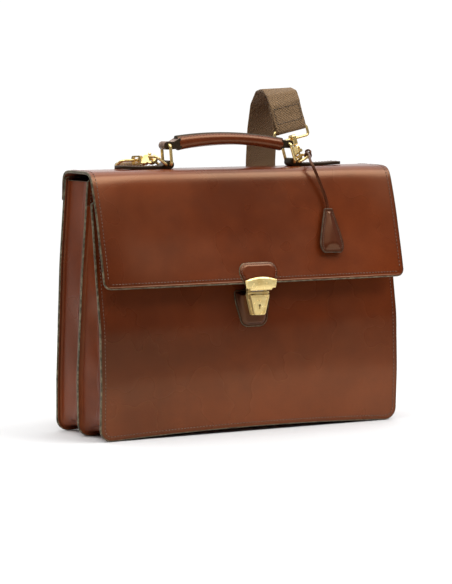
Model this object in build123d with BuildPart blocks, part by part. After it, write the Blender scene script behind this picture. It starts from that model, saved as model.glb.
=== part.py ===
from build123d import *
import os
from math import cos, radians, sin, tan

# A flap-over leather briefcase with two compartments, a press lock, a ring-hung handle,
# a clip-on shoulder strap and a key bell. +X runs along the front, to the right as seen
# from the front, -Y is the front and +Z is up. The origin is under the divider, on the ground.

# ---- driving dimensions (mm) ----
bag_width = 385
bag_depth = 110
top_height = 296
leather = 3
divider_thickness = 2.5
gusset_thickness = 2
gusset_inset = 4
corner_radius = 14
flap_overhang = 1.5
hem_height = 170
hem_corner = 8
flap_bulge = 14.5
fold_radius = 1.5
handle_y = -3
ring_bar_x = 81
ring_height = 22
ring_inner_width = 17
ring_wire = 1.75
left_ring_lean = 5
right_ring_lean = 17
dee_bar_x = 87
dee_length = 16
dee_wire = 1.5
left_dee_lean = 55
right_dee_lean = 62
tab_width = 15
tab_thickness = 3.5
tab_length = 70
grip_half_length = 70
grip_rise = 6.5
webbing_width = 40
webbing_thickness = 2.2
loop_wire = 1.6
loop_height = 12
hook_length = 24
lock_face_y = -68
lock_base_y = -60
running_gap = 0.3
roll_radius = 4.75
bore_clearance = 0.1

half_width = bag_width / 2
half_depth = bag_depth / 2
flap_half_width = half_width + flap_overhang
band_bottom = top_height - leather
bar_z = top_height + roll_radius

os.makedirs("parts", exist_ok=True)


def write(part, name):
    part.label = name
    export_step(part, "parts/" + name + ".step")


def interpolate(line, height):
    """The Y of a (y, z) line at one height."""
    ordered = sorted(line, key=lambda point: point[1])
    for (y0, z0), (y1, z1) in zip(ordered, ordered[1:]):
        if z0 <= height <= z1:
            return y0 + (y1 - y0) * (height - z0) / (z1 - z0)
    return ordered[-1][0]


def shifted(line, distance):
    return [(y + distance, z) for y, z in line]


def between(first, second):
    """The closed outline between two (y, z) lines that run the same way."""
    return first + second[::-1]


# ---- side profiles, as (y, z) lines from the ground up ----
back_line = [(half_depth, 0), (half_depth - 0.5, 60), (half_depth - 10, 190), (half_depth - 24, 288)]
divider_line = [(-1.25, 0), (0.25, 63), (-11.25, 176), (-27, 286)]
front_line = [(-half_depth, 0), (-half_depth - 3, 60), (-half_depth - 1, 125), (-half_depth + 6, 166),
              (-half_depth + 19, 262)]
flap_pivot = (-34.5, top_height - fold_radius)
rear_pivot = (31, top_height - fold_radius)
flap_line = [(-half_depth - flap_bulge, hem_height), (-66, 181), (-53, 222), (-42, 266),
             (-35.5, flap_pivot[1] - 2.1)]

# ---- main panels ----


def leather_panel(line, thickness, radius):
    """A leather sheet that follows a side line, with rounded bottom corners."""
    with BuildPart() as panel:
        with BuildSketch(Plane.YZ):
            with BuildLine():
                Polyline(*between(line, shifted(line, thickness)), close=True)
            make_face()
        extrude(amount=half_width, both=True)
        bottom_corners = panel.edges().filter_by(Axis.Y).group_by(Axis.Z)[0]
        fillet(bottom_corners, radius)
    return panel.part


back_panel = leather_panel(shifted(back_line, -leather), leather, corner_radius)
divider_panel = leather_panel(divider_line, divider_thickness, corner_radius)
front_panel = leather_panel(front_line, leather, corner_radius)


def gusset(rear_line, forward_line, top):
    """A U-shaped strip round the sides and bottom, cut to fit between two leaning panels."""
    outer_half = half_width - gusset_inset
    outer_radius = corner_radius - gusset_inset
    with BuildPart() as strip:
        with BuildSketch(Plane.XZ):
            with BuildLine():
                FilletPolyline((-outer_half, top), (-outer_half, gusset_inset),
                               (outer_half, gusset_inset), (outer_half, top), radius=outer_radius)
                inner_half = outer_half - gusset_thickness
                inner_bottom = gusset_inset + gusset_thickness
                FilletPolyline((-inner_half, top), (-inner_half, inner_bottom),
                               (inner_half, inner_bottom), (inner_half, top),
                               radius=outer_radius - gusset_thickness)
                Line((-outer_half, top), (-inner_half, top))
                Line((outer_half, top), (inner_half, top))
            make_face()
        extrude(amount=2 * bag_depth, both=True)
        with BuildSketch(Plane.YZ):
            with BuildLine():
                Polyline(*between(forward_line, rear_line), close=True)
            make_face()
        extrude(amount=half_width, both=True, mode=Mode.INTERSECT)
    return strip.part


def extended(line, top):
    """A side line whose last run is carried on, or cut, at a given height."""
    (y0, z0), (y1, z1) = line[-2:]
    return line[:-1] + [(y0 + (y1 - y0) * (top - z0) / (z1 - z0), top)]


rear_gusset_top = 284
front_gusset_top = 258
rear_gusset = gusset(extended(shifted(back_line, -leather), rear_gusset_top),
                     extended(shifted(divider_line, divider_thickness), rear_gusset_top),
                     rear_gusset_top)
front_gusset = gusset(extended(divider_line, front_gusset_top),
                      extended(shifted(front_line, leather), front_gusset_top), front_gusset_top)

anchor_top = 290
anchor_bottom = 262
anchor_inner = [(interpolate(back_line, anchor_bottom), anchor_bottom), back_line[-1],
                (back_line[-1][0], anchor_top)]
with BuildPart() as flap_anchor_strip:
    with BuildSketch(Plane.YZ):
        with BuildLine():
            Polyline(*between(anchor_inner, shifted(anchor_inner, leather)), close=True)
        make_face()
    extrude(amount=flap_half_width, both=True)

# ---- lock on the front panel ----
lock_centre = 143.5
plate_top = 155.3
plate_bottom = 133
plate_top_half = 12.3
plate_bottom_half = 6.8
plate_thickness = 2
housing_front_y = -65
slider_front_y = -67.7
slider_back_y = -65.2
cavity_half = 8
ledge_half = 5.6
ledge_z = 149
rivet_radius = 1.5
lock_rivet_spots = [(-10, 151.5), (10, 151.5), (0, 135)]
inner_front_line = shifted(front_line, leather)
back_plate_thickness = 1.2
rivet_front_y = -63.2
base_outline = [(-17, 124), (-22, 150), (-22, 157), (-19, 159.5), (19, 159.5), (22, 157), (22, 150),
                (17, 124)]
base_bottom = 119.5
base_cut_z = 110
back_plate_width = 32
back_plate_height = 28
back_plate_corner = 4
cut_reach = 40


def plate_half(height):
    share = (height - plate_bottom) / (plate_top - plate_bottom)
    return plate_bottom_half + (plate_top_half - plate_bottom_half) * share


def shield(top, grow):
    """The lock's tapered outline up to a given height, grown outwards by an amount."""
    low = plate_bottom - grow
    return [(-plate_half(low) - grow, low), (plate_half(low) + grow, low),
            (plate_half(top) + grow, top), (-plate_half(top) - grow, top)]


def y_plane(y):
    """An upright plane at one Y, seen from the front, with X to the right and Z up."""
    return Plane(origin=(0, y, 0), x_dir=(1, 0, 0), z_dir=(0, -1, 0))


with BuildPart() as lock_rivets:
    for spot_x, spot_z in lock_rivet_spots:
        inside_y = interpolate(inner_front_line, spot_z) + back_plate_thickness
        with BuildSketch(y_plane(inside_y)):
            with Locations((spot_x, spot_z)):
                Circle(rivet_radius)
        extrude(amount=inside_y - rivet_front_y)

with BuildPart() as lock_base:
    with BuildSketch(y_plane(lock_base_y)):
        with BuildLine():
            Polyline(*base_outline)
            ThreePointArc(base_outline[-1], (0, base_bottom), base_outline[0])
        make_face()
    extrude(amount=-cut_reach / 2)
    with BuildSketch(Plane.YZ):
        with BuildLine():
            low_end = (interpolate(front_line, base_cut_z), base_cut_z)
            high_end = (front_line[3][0], front_line[3][1])
            Polyline((lock_base_y, base_cut_z), low_end, front_line[2], high_end,
                     (lock_base_y, high_end[1]), close=True)
        make_face()
    extrude(amount=cut_reach, both=True, mode=Mode.INTERSECT)
    add(lock_rivets.part, mode=Mode.SUBTRACT)

with BuildPart() as lock_back_plate:
    with BuildSketch(y_plane(lock_face_y)):
        with Locations((0, lock_centre)):
            RectangleRounded(back_plate_width, back_plate_height, back_plate_corner)
    extrude(amount=-cut_reach)
    with BuildSketch(Plane.YZ):
        with BuildLine():
            Polyline(*between(inner_front_line, shifted(inner_front_line, back_plate_thickness)), close=True)
        make_face()
    extrude(amount=cut_reach, both=True, mode=Mode.INTERSECT)
    add(lock_rivets.part, mode=Mode.SUBTRACT)

with BuildPart() as drilled_front:
    add(front_panel)
    add(lock_rivets.part, mode=Mode.SUBTRACT)
front_panel = drilled_front.part

cheek_top = 169
cheek_half = 12
cheek_front_y = -64.5
cheek_gap_half = 8.3
housing_border = 0.4
housing_back = 1
window_bottom = 137.5
housing_corner = 2
with BuildPart() as lock_housing:
    with BuildSketch(y_plane(lock_base_y)):
        with BuildLine():
            Polyline(*shield(plate_top, housing_border), close=True)
        make_face()
    extrude(amount=lock_base_y - housing_front_y)
    with BuildSketch(y_plane(lock_base_y)):
        with Locations((0, (cheek_top + plate_top) / 2)):
            Rectangle(2 * cheek_half, cheek_top - plate_top + 2)
    extrude(amount=lock_base_y - cheek_front_y)
    with BuildSketch(y_plane(lock_base_y - housing_back)):
        with Locations((0, (cheek_top + ledge_z) / 2 + 2)):
            Rectangle(2 * cavity_half, cheek_top - ledge_z + 4)
        with Locations((0, (cheek_top + plate_top) / 2 + 2)):
            Rectangle(2 * cheek_gap_half, cheek_top - plate_top + 4)
        with Locations((0, (ledge_z + window_bottom) / 2 + 0.5)):
            Rectangle(2 * ledge_half, ledge_z - window_bottom + 1)
    extrude(amount=10, mode=Mode.SUBTRACT)
    upper_corners = lock_housing.edges().filter_by(Axis.Y).group_by(Axis.Z)[-1].sort_by(Axis.X)
    fillet([upper_corners[0], upper_corners[-1]], housing_corner)
    add(lock_rivets.part, mode=Mode.SUBTRACT)

plate_front_y = lock_face_y - plate_thickness
rim_width = 1.5
rim_height = 0.8
leg_top = 151
leg_inner_half = 6.2
keyhole_radius = 1.5
keyhole_slot = (1.3, 3.6)
keyhole_slot_drop = 2.2
plate_corner = 2.5
with BuildPart() as lock_plate:
    with BuildSketch(y_plane(lock_face_y)):
        with BuildLine():
            Polyline(*shield(plate_top, 0), close=True)
        make_face()
    extrude(amount=plate_thickness)
    with BuildSketch(y_plane(plate_front_y)):
        with BuildLine():
            Polyline(*shield(plate_top, 0), close=True)
        make_face()
        with BuildLine():
            Polyline(*shield(plate_top - rim_width, -rim_width), close=True)
        make_face(mode=Mode.SUBTRACT)
    extrude(amount=rim_height)
    with BuildSketch(y_plane(housing_front_y)):
        with BuildLine():
            Polyline(*shield(leg_top, 0), close=True)
        make_face()
        with Locations((0, leg_top)):
            Rectangle(2 * leg_inner_half, 2 * (leg_top - plate_bottom - 6), mode=Mode.SUBTRACT)
    extrude(amount=housing_front_y - lock_face_y)
    with BuildSketch(y_plane(lock_face_y + 1)):
        with Locations((0, lock_centre)):
            Circle(keyhole_radius)
        with Locations((0, lock_centre - keyhole_slot_drop)):
            Rectangle(*keyhole_slot)
    extrude(amount=10, mode=Mode.SUBTRACT)
    bottom_corners = lock_plate.edges().filter_by(Axis.Y).group_by(Axis.Z)[0]
    fillet(bottom_corners, plate_corner)

bar_low = 156
bar_high = 159
bar_length = 28
bar_corner = 1.4
bar_neck_width = 11.2
bar_neck_low = 150
with BuildPart() as push_bar:
    with BuildSketch(y_plane(slider_back_y)):
        with Locations((0, (bar_low + bar_high) / 2)):
            RectangleRounded(bar_length, bar_high - bar_low, bar_corner)
        with Locations((0, bar_neck_low + 3.2)):
            Rectangle(bar_neck_width, 6.4)
    extrude(amount=slider_back_y - slider_front_y)
    fillet(push_bar.faces().sort_by(Axis.Y)[0].edges().group_by(Axis.Z)[-1], 0.8)

bolt_low = 157
bolt_high = 163.6
bolt_back_y = -61.5
bolt_nose = 1.2
with BuildPart() as latch_bolt:
    with BuildSketch(y_plane(bolt_back_y)):
        with Locations((0, (bolt_low + bolt_high) / 2)):
            Rectangle(2 * cavity_half - 0.5, bolt_high - bolt_low)
    extrude(amount=bolt_back_y - slider_back_y)
    chamfer(latch_bolt.edges().filter_by(Axis.X).group_by(Axis.Z)[-1].sort_by(Axis.Y)[0], bolt_nose)

spring_radius = 0.9
spring_wire = 0.25
spring_pitch = 1.2
spring_x = 6.8
spring_y = -63
spring_clearance = 0.4
with BuildPart() as lock_springs:
    for side in (-1, 1):
        with BuildLine(Plane((side * spring_x, spring_y, ledge_z + spring_clearance))) as coil:
            Helix(pitch=spring_pitch, height=bolt_low - ledge_z - 2 * spring_clearance,
                  radius=spring_radius)
        with BuildSketch(Plane(origin=coil.line @ 0, z_dir=coil.line % 0)):
            Circle(spring_wire)
        sweep(path=coil.line, is_frenet=True)

cam_back_y = -61.3
cam_radius = 2.6
cam_thickness = 3.4
cam_arm = (2.4, 4.6)
cam_slot = (1, 3)
with BuildPart() as lock_cam:
    with BuildSketch(y_plane(cam_back_y)):
        with Locations((0, lock_centre)):
            Circle(cam_radius)
        with Locations((0, lock_centre - 2.5)):
            Rectangle(*cam_arm)
        with Locations((0, lock_centre)):
            Rectangle(*cam_slot, mode=Mode.SUBTRACT)
    extrude(amount=cam_thickness)

# ---- flap: band on top, front sheet, lock tab and catch ----
band_rear_y = 29
band_front_y = -31.5
stiffener_thickness = 1.8
stiffener_margin = 2
stiffener_side_margin = 12
with BuildPart() as flap_band:
    with BuildSketch(Plane.YZ):
        with Locations(((band_rear_y + band_front_y) / 2, top_height - leather / 2)):
            Rectangle(band_rear_y - band_front_y, leather)
    extrude(amount=flap_half_width, both=True)
    fillet(flap_band.edges().filter_by(Axis.Y), 1)

with BuildPart() as band_stiffener:
    with BuildSketch(Plane.YZ):
        with Locations(((band_rear_y + band_front_y) / 2, band_bottom - stiffener_thickness / 2)):
            Rectangle(band_rear_y - band_front_y - 2 * stiffener_margin, stiffener_thickness)
    extrude(amount=half_width - stiffener_side_margin, both=True)

with BuildPart() as flap_front:
    with BuildSketch(Plane.YZ):
        with BuildLine():
            Polyline(*between(flap_line, shifted(flap_line, leather)), close=True)
        make_face()
    extrude(amount=flap_half_width, both=True)
    hem_corners = flap_front.edges().filter_by(Axis.Y).group_by(Axis.Z)[0]
    fillet(hem_corners, hem_corner)

lock_tab_thickness = 2.5
catch_back_y = -72.3
catch_thickness = 2.2
catch_rivet_spots = [(-14, 173), (14, 173)]
catch_rivet_radius = 1.3
tab_top = 192
tab_shoulder = 177
tab_top_half = 24
tab_hem_half = 20
catch_back_height = 175
with BuildPart() as catch_rivets:
    for spot_x, spot_z in catch_rivet_spots:
        inside_y = interpolate(flap_line, spot_z) + leather + back_plate_thickness
        with BuildSketch(y_plane(inside_y)):
            with Locations((spot_x, spot_z)):
                Circle(catch_rivet_radius)
        extrude(amount=inside_y - catch_back_y)

with BuildPart() as drilled_flap:
    add(flap_front.part)
    add(catch_rivets.part, mode=Mode.SUBTRACT)
flap_front = drilled_flap

with BuildPart() as flap_lock_tab:
    with BuildSketch(y_plane(lock_base_y)):
        with BuildLine():
            FilletPolyline((-tab_hem_half, hem_height), (-tab_top_half, tab_shoulder),
                           (-tab_top_half, tab_top), (tab_top_half, tab_top),
                           (tab_top_half, tab_shoulder), (tab_hem_half, hem_height), radius=[3, 9, 9, 3])
            Line((-tab_hem_half, hem_height), (tab_hem_half, hem_height))
        make_face()
    extrude(amount=cut_reach / 2)
    with BuildSketch(Plane.YZ):
        with BuildLine():
            Polyline(*between(shifted(flap_line, -lock_tab_thickness), flap_line), close=True)
        make_face()
    extrude(amount=cut_reach, both=True, mode=Mode.INTERSECT)
    add(catch_rivets.part, mode=Mode.SUBTRACT)

inner_flap_line = shifted(flap_line, leather)
with BuildPart() as catch_back_plate:
    with BuildSketch(y_plane(-half_depth + 5)):
        with Locations((0, catch_back_height)):
            RectangleRounded(38, 7, 2)
    extrude(amount=cut_reach)
    with BuildSketch(Plane.YZ):
        with BuildLine():
            Polyline(*between(inner_flap_line, shifted(inner_flap_line, back_plate_thickness)), close=True)
        make_face()
    extrude(amount=cut_reach, both=True, mode=Mode.INTERSECT)
    add(catch_rivets.part, mode=Mode.SUBTRACT)

catch_top = 175.6
catch_right = [(20.5, 171.8), (19, 163.6), (14.5, 162.8), (13.5, 161)]
catch_left = [(-x, z) for x, z in reversed(catch_right)]
with BuildPart() as catch_plate:
    with BuildSketch(y_plane(catch_back_y)):
        with BuildLine():
            ThreePointArc(catch_left[-1], (0, catch_top), catch_right[0])
            Polyline(*catch_right, *catch_left)
        make_face()
    extrude(amount=catch_thickness)
    chamfer(catch_plate.faces().sort_by(Axis.Y)[0].edges(), 0.6)

staple_low = 164
staple_high = 167.6
staple_width = 9
staple_back_y = -62
staple_slot = (5, 1.8)
staple_slot_y = -63.8
with BuildPart() as catch_staple:
    with BuildSketch(y_plane(staple_back_y)):
        with Locations((0, (staple_low + staple_high) / 2)):
            Rectangle(staple_width, staple_high - staple_low)
    extrude(amount=staple_back_y - catch_back_y)
    with BuildSketch(Plane.XY.offset(staple_low)):
        with Locations((0, staple_slot_y)):
            Rectangle(*staple_slot)
    extrude(amount=10, mode=Mode.SUBTRACT)

# ---- strap tabs with their rolled loops, one at each end of the handle ----
tab_before_bar = 7
tab_end_radius = 3
tab_end_x = ring_bar_x - tab_before_bar + tab_length


def strap_tab(side):
    """A leather strip on the band whose inner end rolls over the ring bar and the dee bar."""
    with BuildPart() as tab:
        with BuildSketch(y_plane(handle_y + tab_width / 2)):
            with Locations((side * (ring_bar_x + dee_bar_x) / 2, bar_z)):
                SlotOverall(dee_bar_x - ring_bar_x + 2 * roll_radius, 2 * roll_radius)
            with Locations((side * (dee_bar_x + tab_end_x) / 2, top_height + tab_thickness / 2)):
                Rectangle(tab_end_x - dee_bar_x, tab_thickness)
            with Locations((side * ring_bar_x, bar_z)):
                Circle(ring_wire + bore_clearance, mode=Mode.SUBTRACT)
            with Locations((side * dee_bar_x, bar_z)):
                Circle(dee_wire + bore_clearance, mode=Mode.SUBTRACT)
        extrude(amount=tab_width)
        far_corners = tab.edges().filter_by(Axis.Z).group_by(Axis.X)[-1 if side > 0 else 0]
        fillet(far_corners, tab_end_radius)
    return tab.part


tab_left = strap_tab(-1)
tab_right = strap_tab(1)

# ---- bent wire hardware ----
link_corner = 3


def wire_frame(plane, length, height, wire, corner):
    """A closed rectangle of round wire, centred on its low bar, rising along the plane's Y."""
    with BuildPart() as frame:
        with BuildLine(plane) as path:
            half = length / 2
            FilletPolyline((-half, 0), (half, 0), (half, height), (-half, height), radius=corner,
                           close=True)
        with BuildSketch(Plane(origin=path.line @ 0, z_dir=path.line % 0)):
            Circle(wire)
        sweep()
    return frame.part


def leaning(side, lean):
    """The unit direction that rises from a bar and leans outwards by an angle."""
    return Vector(side * sin(radians(lean)), 0, cos(radians(lean)))


def link_plane(side, lean, bar_x):
    """A link's plane: X along the bar, to the rear, and Y up its side wires."""
    return Plane(origin=(bar_x, handle_y, bar_z), x_dir=(0, 1, 0),
                 z_dir=Vector(0, 1, 0).cross(leaning(side, lean)))


left_ring_plane = link_plane(-1, left_ring_lean, -ring_bar_x)
right_ring_plane = link_plane(-1, right_ring_lean, ring_bar_x)
ring_span = ring_inner_width + 2 * ring_wire
ring_left = wire_frame(left_ring_plane, ring_span, ring_height, ring_wire, link_corner)
ring_right = wire_frame(right_ring_plane, ring_span, ring_height, ring_wire, link_corner)
left_dee_plane = link_plane(-1, left_dee_lean, -dee_bar_x)
right_dee_plane = link_plane(1, right_dee_lean, dee_bar_x)
dee_span = ring_inner_width + 2 * dee_wire
dee_left = wire_frame(left_dee_plane, dee_span, dee_length, dee_wire, link_corner)
dee_right = wire_frame(right_dee_plane, dee_span, dee_length, dee_wire, link_corner)

# ---- handle: a padded grip whose leather ends wrap the rings' top bars ----
left_top = left_ring_plane.from_local_coords((0, ring_height))
right_top = right_ring_plane.from_local_coords((0, ring_height))
grip_radius = (grip_half_length ** 2 + grip_rise ** 2) / (2 * grip_rise)
grip_drop = 2.5
grip_shift = 3
grip_end_z = (left_top.Z + right_top.Z) / 2 - grip_drop
grip_centre_x = (left_top.X + right_top.X) / 2 + grip_shift
grip_half_depth = 8.8
grip_half_height = 9.8
grip_taper = 0.14
core_share = 0.45
core_end_gap = 4


def grip_plane(x_offset):
    """The grip's cross-section plane at a distance from its middle, square to its arch."""
    angle = x_offset / grip_radius
    origin = (grip_centre_x + grip_radius * sin(angle), handle_y,
              grip_end_z + grip_rise - grip_radius * (1 - cos(angle)))
    return Plane(origin=origin, x_dir=(0, 1, 0), z_dir=(cos(angle), 0, -sin(angle)))


def grip_body(share, reach):
    """The grip's arched, slightly barrelled form at a share of its full section."""
    with BuildPart() as body:
        for step in (-1, -0.5, 0, 0.5, 1):
            fullness = (1 - grip_taper * step ** 2) * share
            with BuildSketch(grip_plane(step * reach)):
                Ellipse(grip_half_depth * fullness, grip_half_height * fullness)
        loft()
    return body.part


handle_core = grip_body(core_share, grip_half_length - core_end_gap)
with BuildPart() as handle_cover:
    add(grip_body(1, grip_half_length))
    add(handle_core, mode=Mode.SUBTRACT)

end_wrap_radius = 4.6
end_bore_radius = ring_wire + 0.55
end_width = ring_inner_width - 2.4
end_root_half = 7.5


def handle_end(side, top):
    """A leather tongue from the grip's end that wraps a ring's top bar."""
    end_plane = grip_plane(side * grip_half_length)
    low = end_plane.from_local_coords((0, -end_root_half))
    high = end_plane.from_local_coords((0, end_root_half))
    with BuildPart() as tongue:
        with BuildSketch(y_plane(handle_y + end_width / 2)):
            with Locations((top.X, top.Z)):
                Circle(end_wrap_radius)
            with BuildLine():
                Polyline((low.X, min(low.Z, high.Z)), (high.X, max(low.Z, high.Z)),
                         (top.X, top.Z + end_wrap_radius), (top.X, top.Z - end_wrap_radius), close=True)
            make_face()
            with Locations((top.X, top.Z)):
                Circle(end_bore_radius, mode=Mode.SUBTRACT)
        extrude(amount=end_width)
    return tongue.part


handle_end_left = handle_end(-1, left_top)
handle_end_right = handle_end(1, right_top)

# ---- snap hooks: claw round a dee's rear side wire, sliding bolt, swivelling eye ----
claw_inner = 3.3
claw_outer = 6.0
hook_half_thickness = 1.9
bolt_offset = 4.6
bolt_radius = 1.1
shank_radius = 1.6
body_start = 4.6
body_end = 12.5
eye_start = 14
eye_end = 26.5
eye_half_thickness = 2.2
eye_width = 10.4
eye_opening_width = 6.8
eye_wall = 2.5
knob_seat = 6.6
claw_mouth = (5, 6)


def snap_hook(plane):
    """The hook: local X runs from the claw's centre up the shank, local Z is the claw's axis."""
    along_shank = plane.x_dir
    with BuildPart() as hook:
        with BuildSketch(plane.offset(-hook_half_thickness)):
            Circle(claw_outer)
            with Locations(((body_start + body_end) / 2, 0)):
                RectangleRounded(body_end - body_start, 2 * claw_outer, 2)
            Circle(claw_inner, mode=Mode.SUBTRACT)
            with Locations((2.2, 5)):
                Rectangle(*claw_mouth, mode=Mode.SUBTRACT)
        extrude(amount=2 * hook_half_thickness)
        with BuildSketch(Plane(origin=plane.from_local_coords((body_end - 1, 0)), z_dir=along_shank)):
            Circle(shank_radius)
        extrude(amount=eye_start + 4 - body_end + 1)
        with BuildSketch(Plane(origin=plane.from_local_coords((eye_start + 3.4, 0)), z_dir=along_shank)):
            Circle(shank_radius + 1.1)
        extrude(amount=1.2)
        with BuildSketch(Plane(origin=plane.from_local_coords((body_start - 1, bolt_offset)),
                               z_dir=along_shank)):
            Circle(bolt_radius + 0.25)
        extrude(amount=8.2, mode=Mode.SUBTRACT)
        with BuildSketch(Plane(origin=plane.from_local_coords((8.6, bolt_offset)), x_dir=along_shank,
                               z_dir=plane.y_dir)):
            SlotOverall(6.4, 2.3)
        extrude(amount=6, mode=Mode.SUBTRACT)
    return hook.part


def snap_gate(plane):
    """The spring bolt that shuts the claw, with its thumb knob."""
    with BuildPart() as gate:
        with BuildSketch(Plane(origin=plane.from_local_coords((0, bolt_offset)), z_dir=plane.x_dir)):
            Circle(bolt_radius)
        extrude(amount=7.6)
        with BuildSketch(Plane(origin=plane.from_local_coords((knob_seat, bolt_offset)), z_dir=plane.y_dir)):
            Circle(0.9)
        extrude(amount=4.4)
        with BuildSketch(Plane(origin=plane.from_local_coords((knob_seat, bolt_offset + 2.6)),
                               z_dir=plane.y_dir)):
            Circle(1.9)
        extrude(amount=1.8)
    return gate.part


def swivel_eye(hook, bar_direction):
    """The stirrup that turns on the shank and carries the strap's wire loop."""
    plane = square_to(hook.origin, hook.x_dir, bar_direction)
    middle = (eye_start + eye_end) / 2
    with BuildPart() as eye:
        with BuildSketch(plane.offset(-eye_half_thickness)):
            with Locations((middle, 0)):
                RectangleRounded(eye_end - eye_start, eye_width, 2.5)
            with Locations((middle + 0.3, 0)):
                RectangleRounded(eye_end - eye_start - 2 * eye_wall, eye_opening_width, 1.5,
                                 mode=Mode.SUBTRACT)
        extrude(amount=2 * eye_half_thickness)
        with BuildSketch(Plane(origin=plane.from_local_coords((eye_start - 1, 0)), z_dir=plane.x_dir)):
            Circle(shank_radius + 0.25)
        extrude(amount=5, mode=Mode.SUBTRACT)
    return eye.part


def square_to(point, shank, axis):
    """A plane whose X runs along a shank and whose normal is as near to an axis as it can be."""
    shank = Vector(*shank).normalized()
    axis = Vector(*axis)
    return Plane(origin=point, x_dir=shank, z_dir=(axis - shank * axis.dot(shank)).normalized())


right_bar_direction = Vector(0.978, 0, 0.208)
left_bar_direction = Vector(0.966, 0.259, 0)
right_hook_plane = square_to(right_dee_plane.from_local_coords((dee_span / 2, 10.6)),
                             (-0.2, 0.17, 0.96), (0.88, 0.25, 0.3))
left_hook_plane = square_to(left_dee_plane.from_local_coords((dee_span / 2, 9.5)),
                            (-0.5, 0.86, -0.05), (0.82, 0, -0.57))
hook_right = snap_hook(right_hook_plane)
hook_left = snap_hook(left_hook_plane)
gate_right = snap_gate(right_hook_plane)
gate_left = snap_gate(left_hook_plane)
eye_right = swivel_eye(right_hook_plane, right_bar_direction)
eye_left = swivel_eye(left_hook_plane, left_bar_direction)

# ---- shoulder strap: wire loops, webbing and its slider ----
loop_span = webbing_width + 2 * loop_wire + 1
loop_corner = 3.5
bar_seat = eye_end - 2.7 - loop_wire - running_gap
right_bar = right_hook_plane.from_local_coords((bar_seat, 0))
left_bar = left_hook_plane.from_local_coords((bar_seat, 0))
left_loop_up = Vector(-0.22, 0.83, -0.51)


def loop_plane(bar, bar_direction, up):
    """A wire loop's plane: X along its low bar and Y across to its other bar."""
    return Plane(origin=bar, x_dir=bar_direction, z_dir=bar_direction.cross(up))


right_loop_plane = loop_plane(right_bar, right_bar_direction, right_hook_plane.x_dir)
left_loop_plane = loop_plane(left_bar, left_bar_direction, left_loop_up)
loop_right = wire_frame(right_loop_plane, loop_span, loop_height, loop_wire, loop_corner)
loop_left = wire_frame(left_loop_plane, loop_span, loop_height, loop_wire, loop_corner)

right_fold = right_loop_plane.from_local_coords((0, loop_height))
left_fold = left_loop_plane.from_local_coords((0, loop_height))
strap_rear_y = 70
strap_floor_y = 96
arch_top = 384
fold_clear = loop_wire + running_gap + webbing_thickness / 2
tilt_clear = 4.6


def ribbon(points, radii, centre_x):
    """Webbing of constant width whose centre line follows (y, z) points."""
    with BuildPart() as band:
        with BuildLine(Plane.YZ) as path:
            FilletPolyline(*points, radius=radii)
        with BuildSketch(Plane(origin=path.line @ 0, x_dir=(1, 0, 0), z_dir=path.line % 0)):
            Rectangle(webbing_width, webbing_thickness)
        sweep(transition=Transition.RIGHT)
    return Pos(centre_x, 0, 0) * band.part


floor_z = webbing_thickness / 2 + 0.2
strap_centre_x = right_fold.X - 6
right_run = ribbon([(right_fold.Y, right_fold.Z + fold_clear + tilt_clear), (right_fold.Y + 3, 368),
                    (34, arch_top), (60, 364), (strap_rear_y, 300), (strap_rear_y, 12),
                    (strap_rear_y + 10, floor_z), (strap_floor_y + 20, floor_z)],
                   [8, 18, 16, 30, 8, 8], strap_centre_x)
left_run = ribbon([(left_fold.Y + 2, left_fold.Z - fold_clear), (46, 240), (62, 160),
                   (strap_rear_y, 60), (strap_rear_y, 12), (strap_rear_y + 10, floor_z),
                   (strap_floor_y + 20, floor_z)],
                  [20, 60, 60, 8, 8], left_bar.X)
floor_length = strap_centre_x - left_bar.X + webbing_width
with BuildPart() as strap_webbing:
    add(right_run)
    add(left_run)
    with Locations(((strap_centre_x + left_bar.X) / 2, strap_floor_y, floor_z)):
        Box(floor_length, webbing_width, webbing_thickness)

slider_z = 200
slider_height = 26
slider_slot = 7
slider_thickness = 3
with BuildPart() as strap_slider:
    with BuildSketch(Plane(origin=(strap_centre_x, strap_rear_y + 1.5, slider_z), x_dir=(1, 0, 0),
                           z_dir=(0, 1, 0))):
        RectangleRounded(webbing_width + 8, slider_height, 4)
        with Locations((0, slider_slot), (0, -slider_slot)):
            Rectangle(webbing_width + 1, slider_slot, mode=Mode.SUBTRACT)
    extrude(amount=slider_thickness)

# ---- key bell on its lace ----
bell_lean = -2
bell_height = 50
bell_up = Vector(-sin(radians(bell_lean)), 0.263 * cos(radians(bell_lean)),
                 0.965 * cos(radians(bell_lean)))
bell_top = Vector(100.8, -52.8, 248)
bell_out = Vector(0, -0.965, 0.263)
bell_plane = Plane(origin=bell_top, x_dir=bell_up.cross(bell_out), z_dir=bell_out)
bell_half_thickness = 4
bell_wall = 2
key_half_thickness = 0.9
lace_radius = 1.5
lace_bore_clearance = 0.4


def bell_outline(grow):
    """The bell's outline, hanging below its top, grown outwards by an amount."""
    with BuildSketch(Plane.XY) as outline:
        with BuildLine():
            left = [(-5 - grow, grow), (-8 - grow, -12), (-15 - grow, -40), (-13 - grow, -48 - grow)]
            Spline(*left)
            ThreePointArc(left[-1], (0, -bell_height - grow), (13 + grow, -48 - grow))
            Spline(*[(-x, y) for x, y in reversed(left)])
            Line((5 + grow, grow), (-5 - grow, grow))
        make_face()
    return outline.sketch


with BuildPart() as clochette_cover:
    with BuildSketch(bell_plane.offset(-bell_half_thickness)):
        add(bell_outline(0))
    extrude(amount=2 * bell_half_thickness)
    with BuildSketch(bell_plane.offset(bell_wall - bell_half_thickness)):
        with Locations((0, -34)):
            Rectangle(22, 50)
    extrude(amount=2 * (bell_half_thickness - bell_wall), mode=Mode.SUBTRACT)
    with BuildSketch(Plane(origin=bell_plane.from_local_coords((0, 3)), z_dir=-bell_up)):
        Circle(lace_radius + lace_bore_clearance)
    extrude(amount=16, mode=Mode.SUBTRACT)

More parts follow.
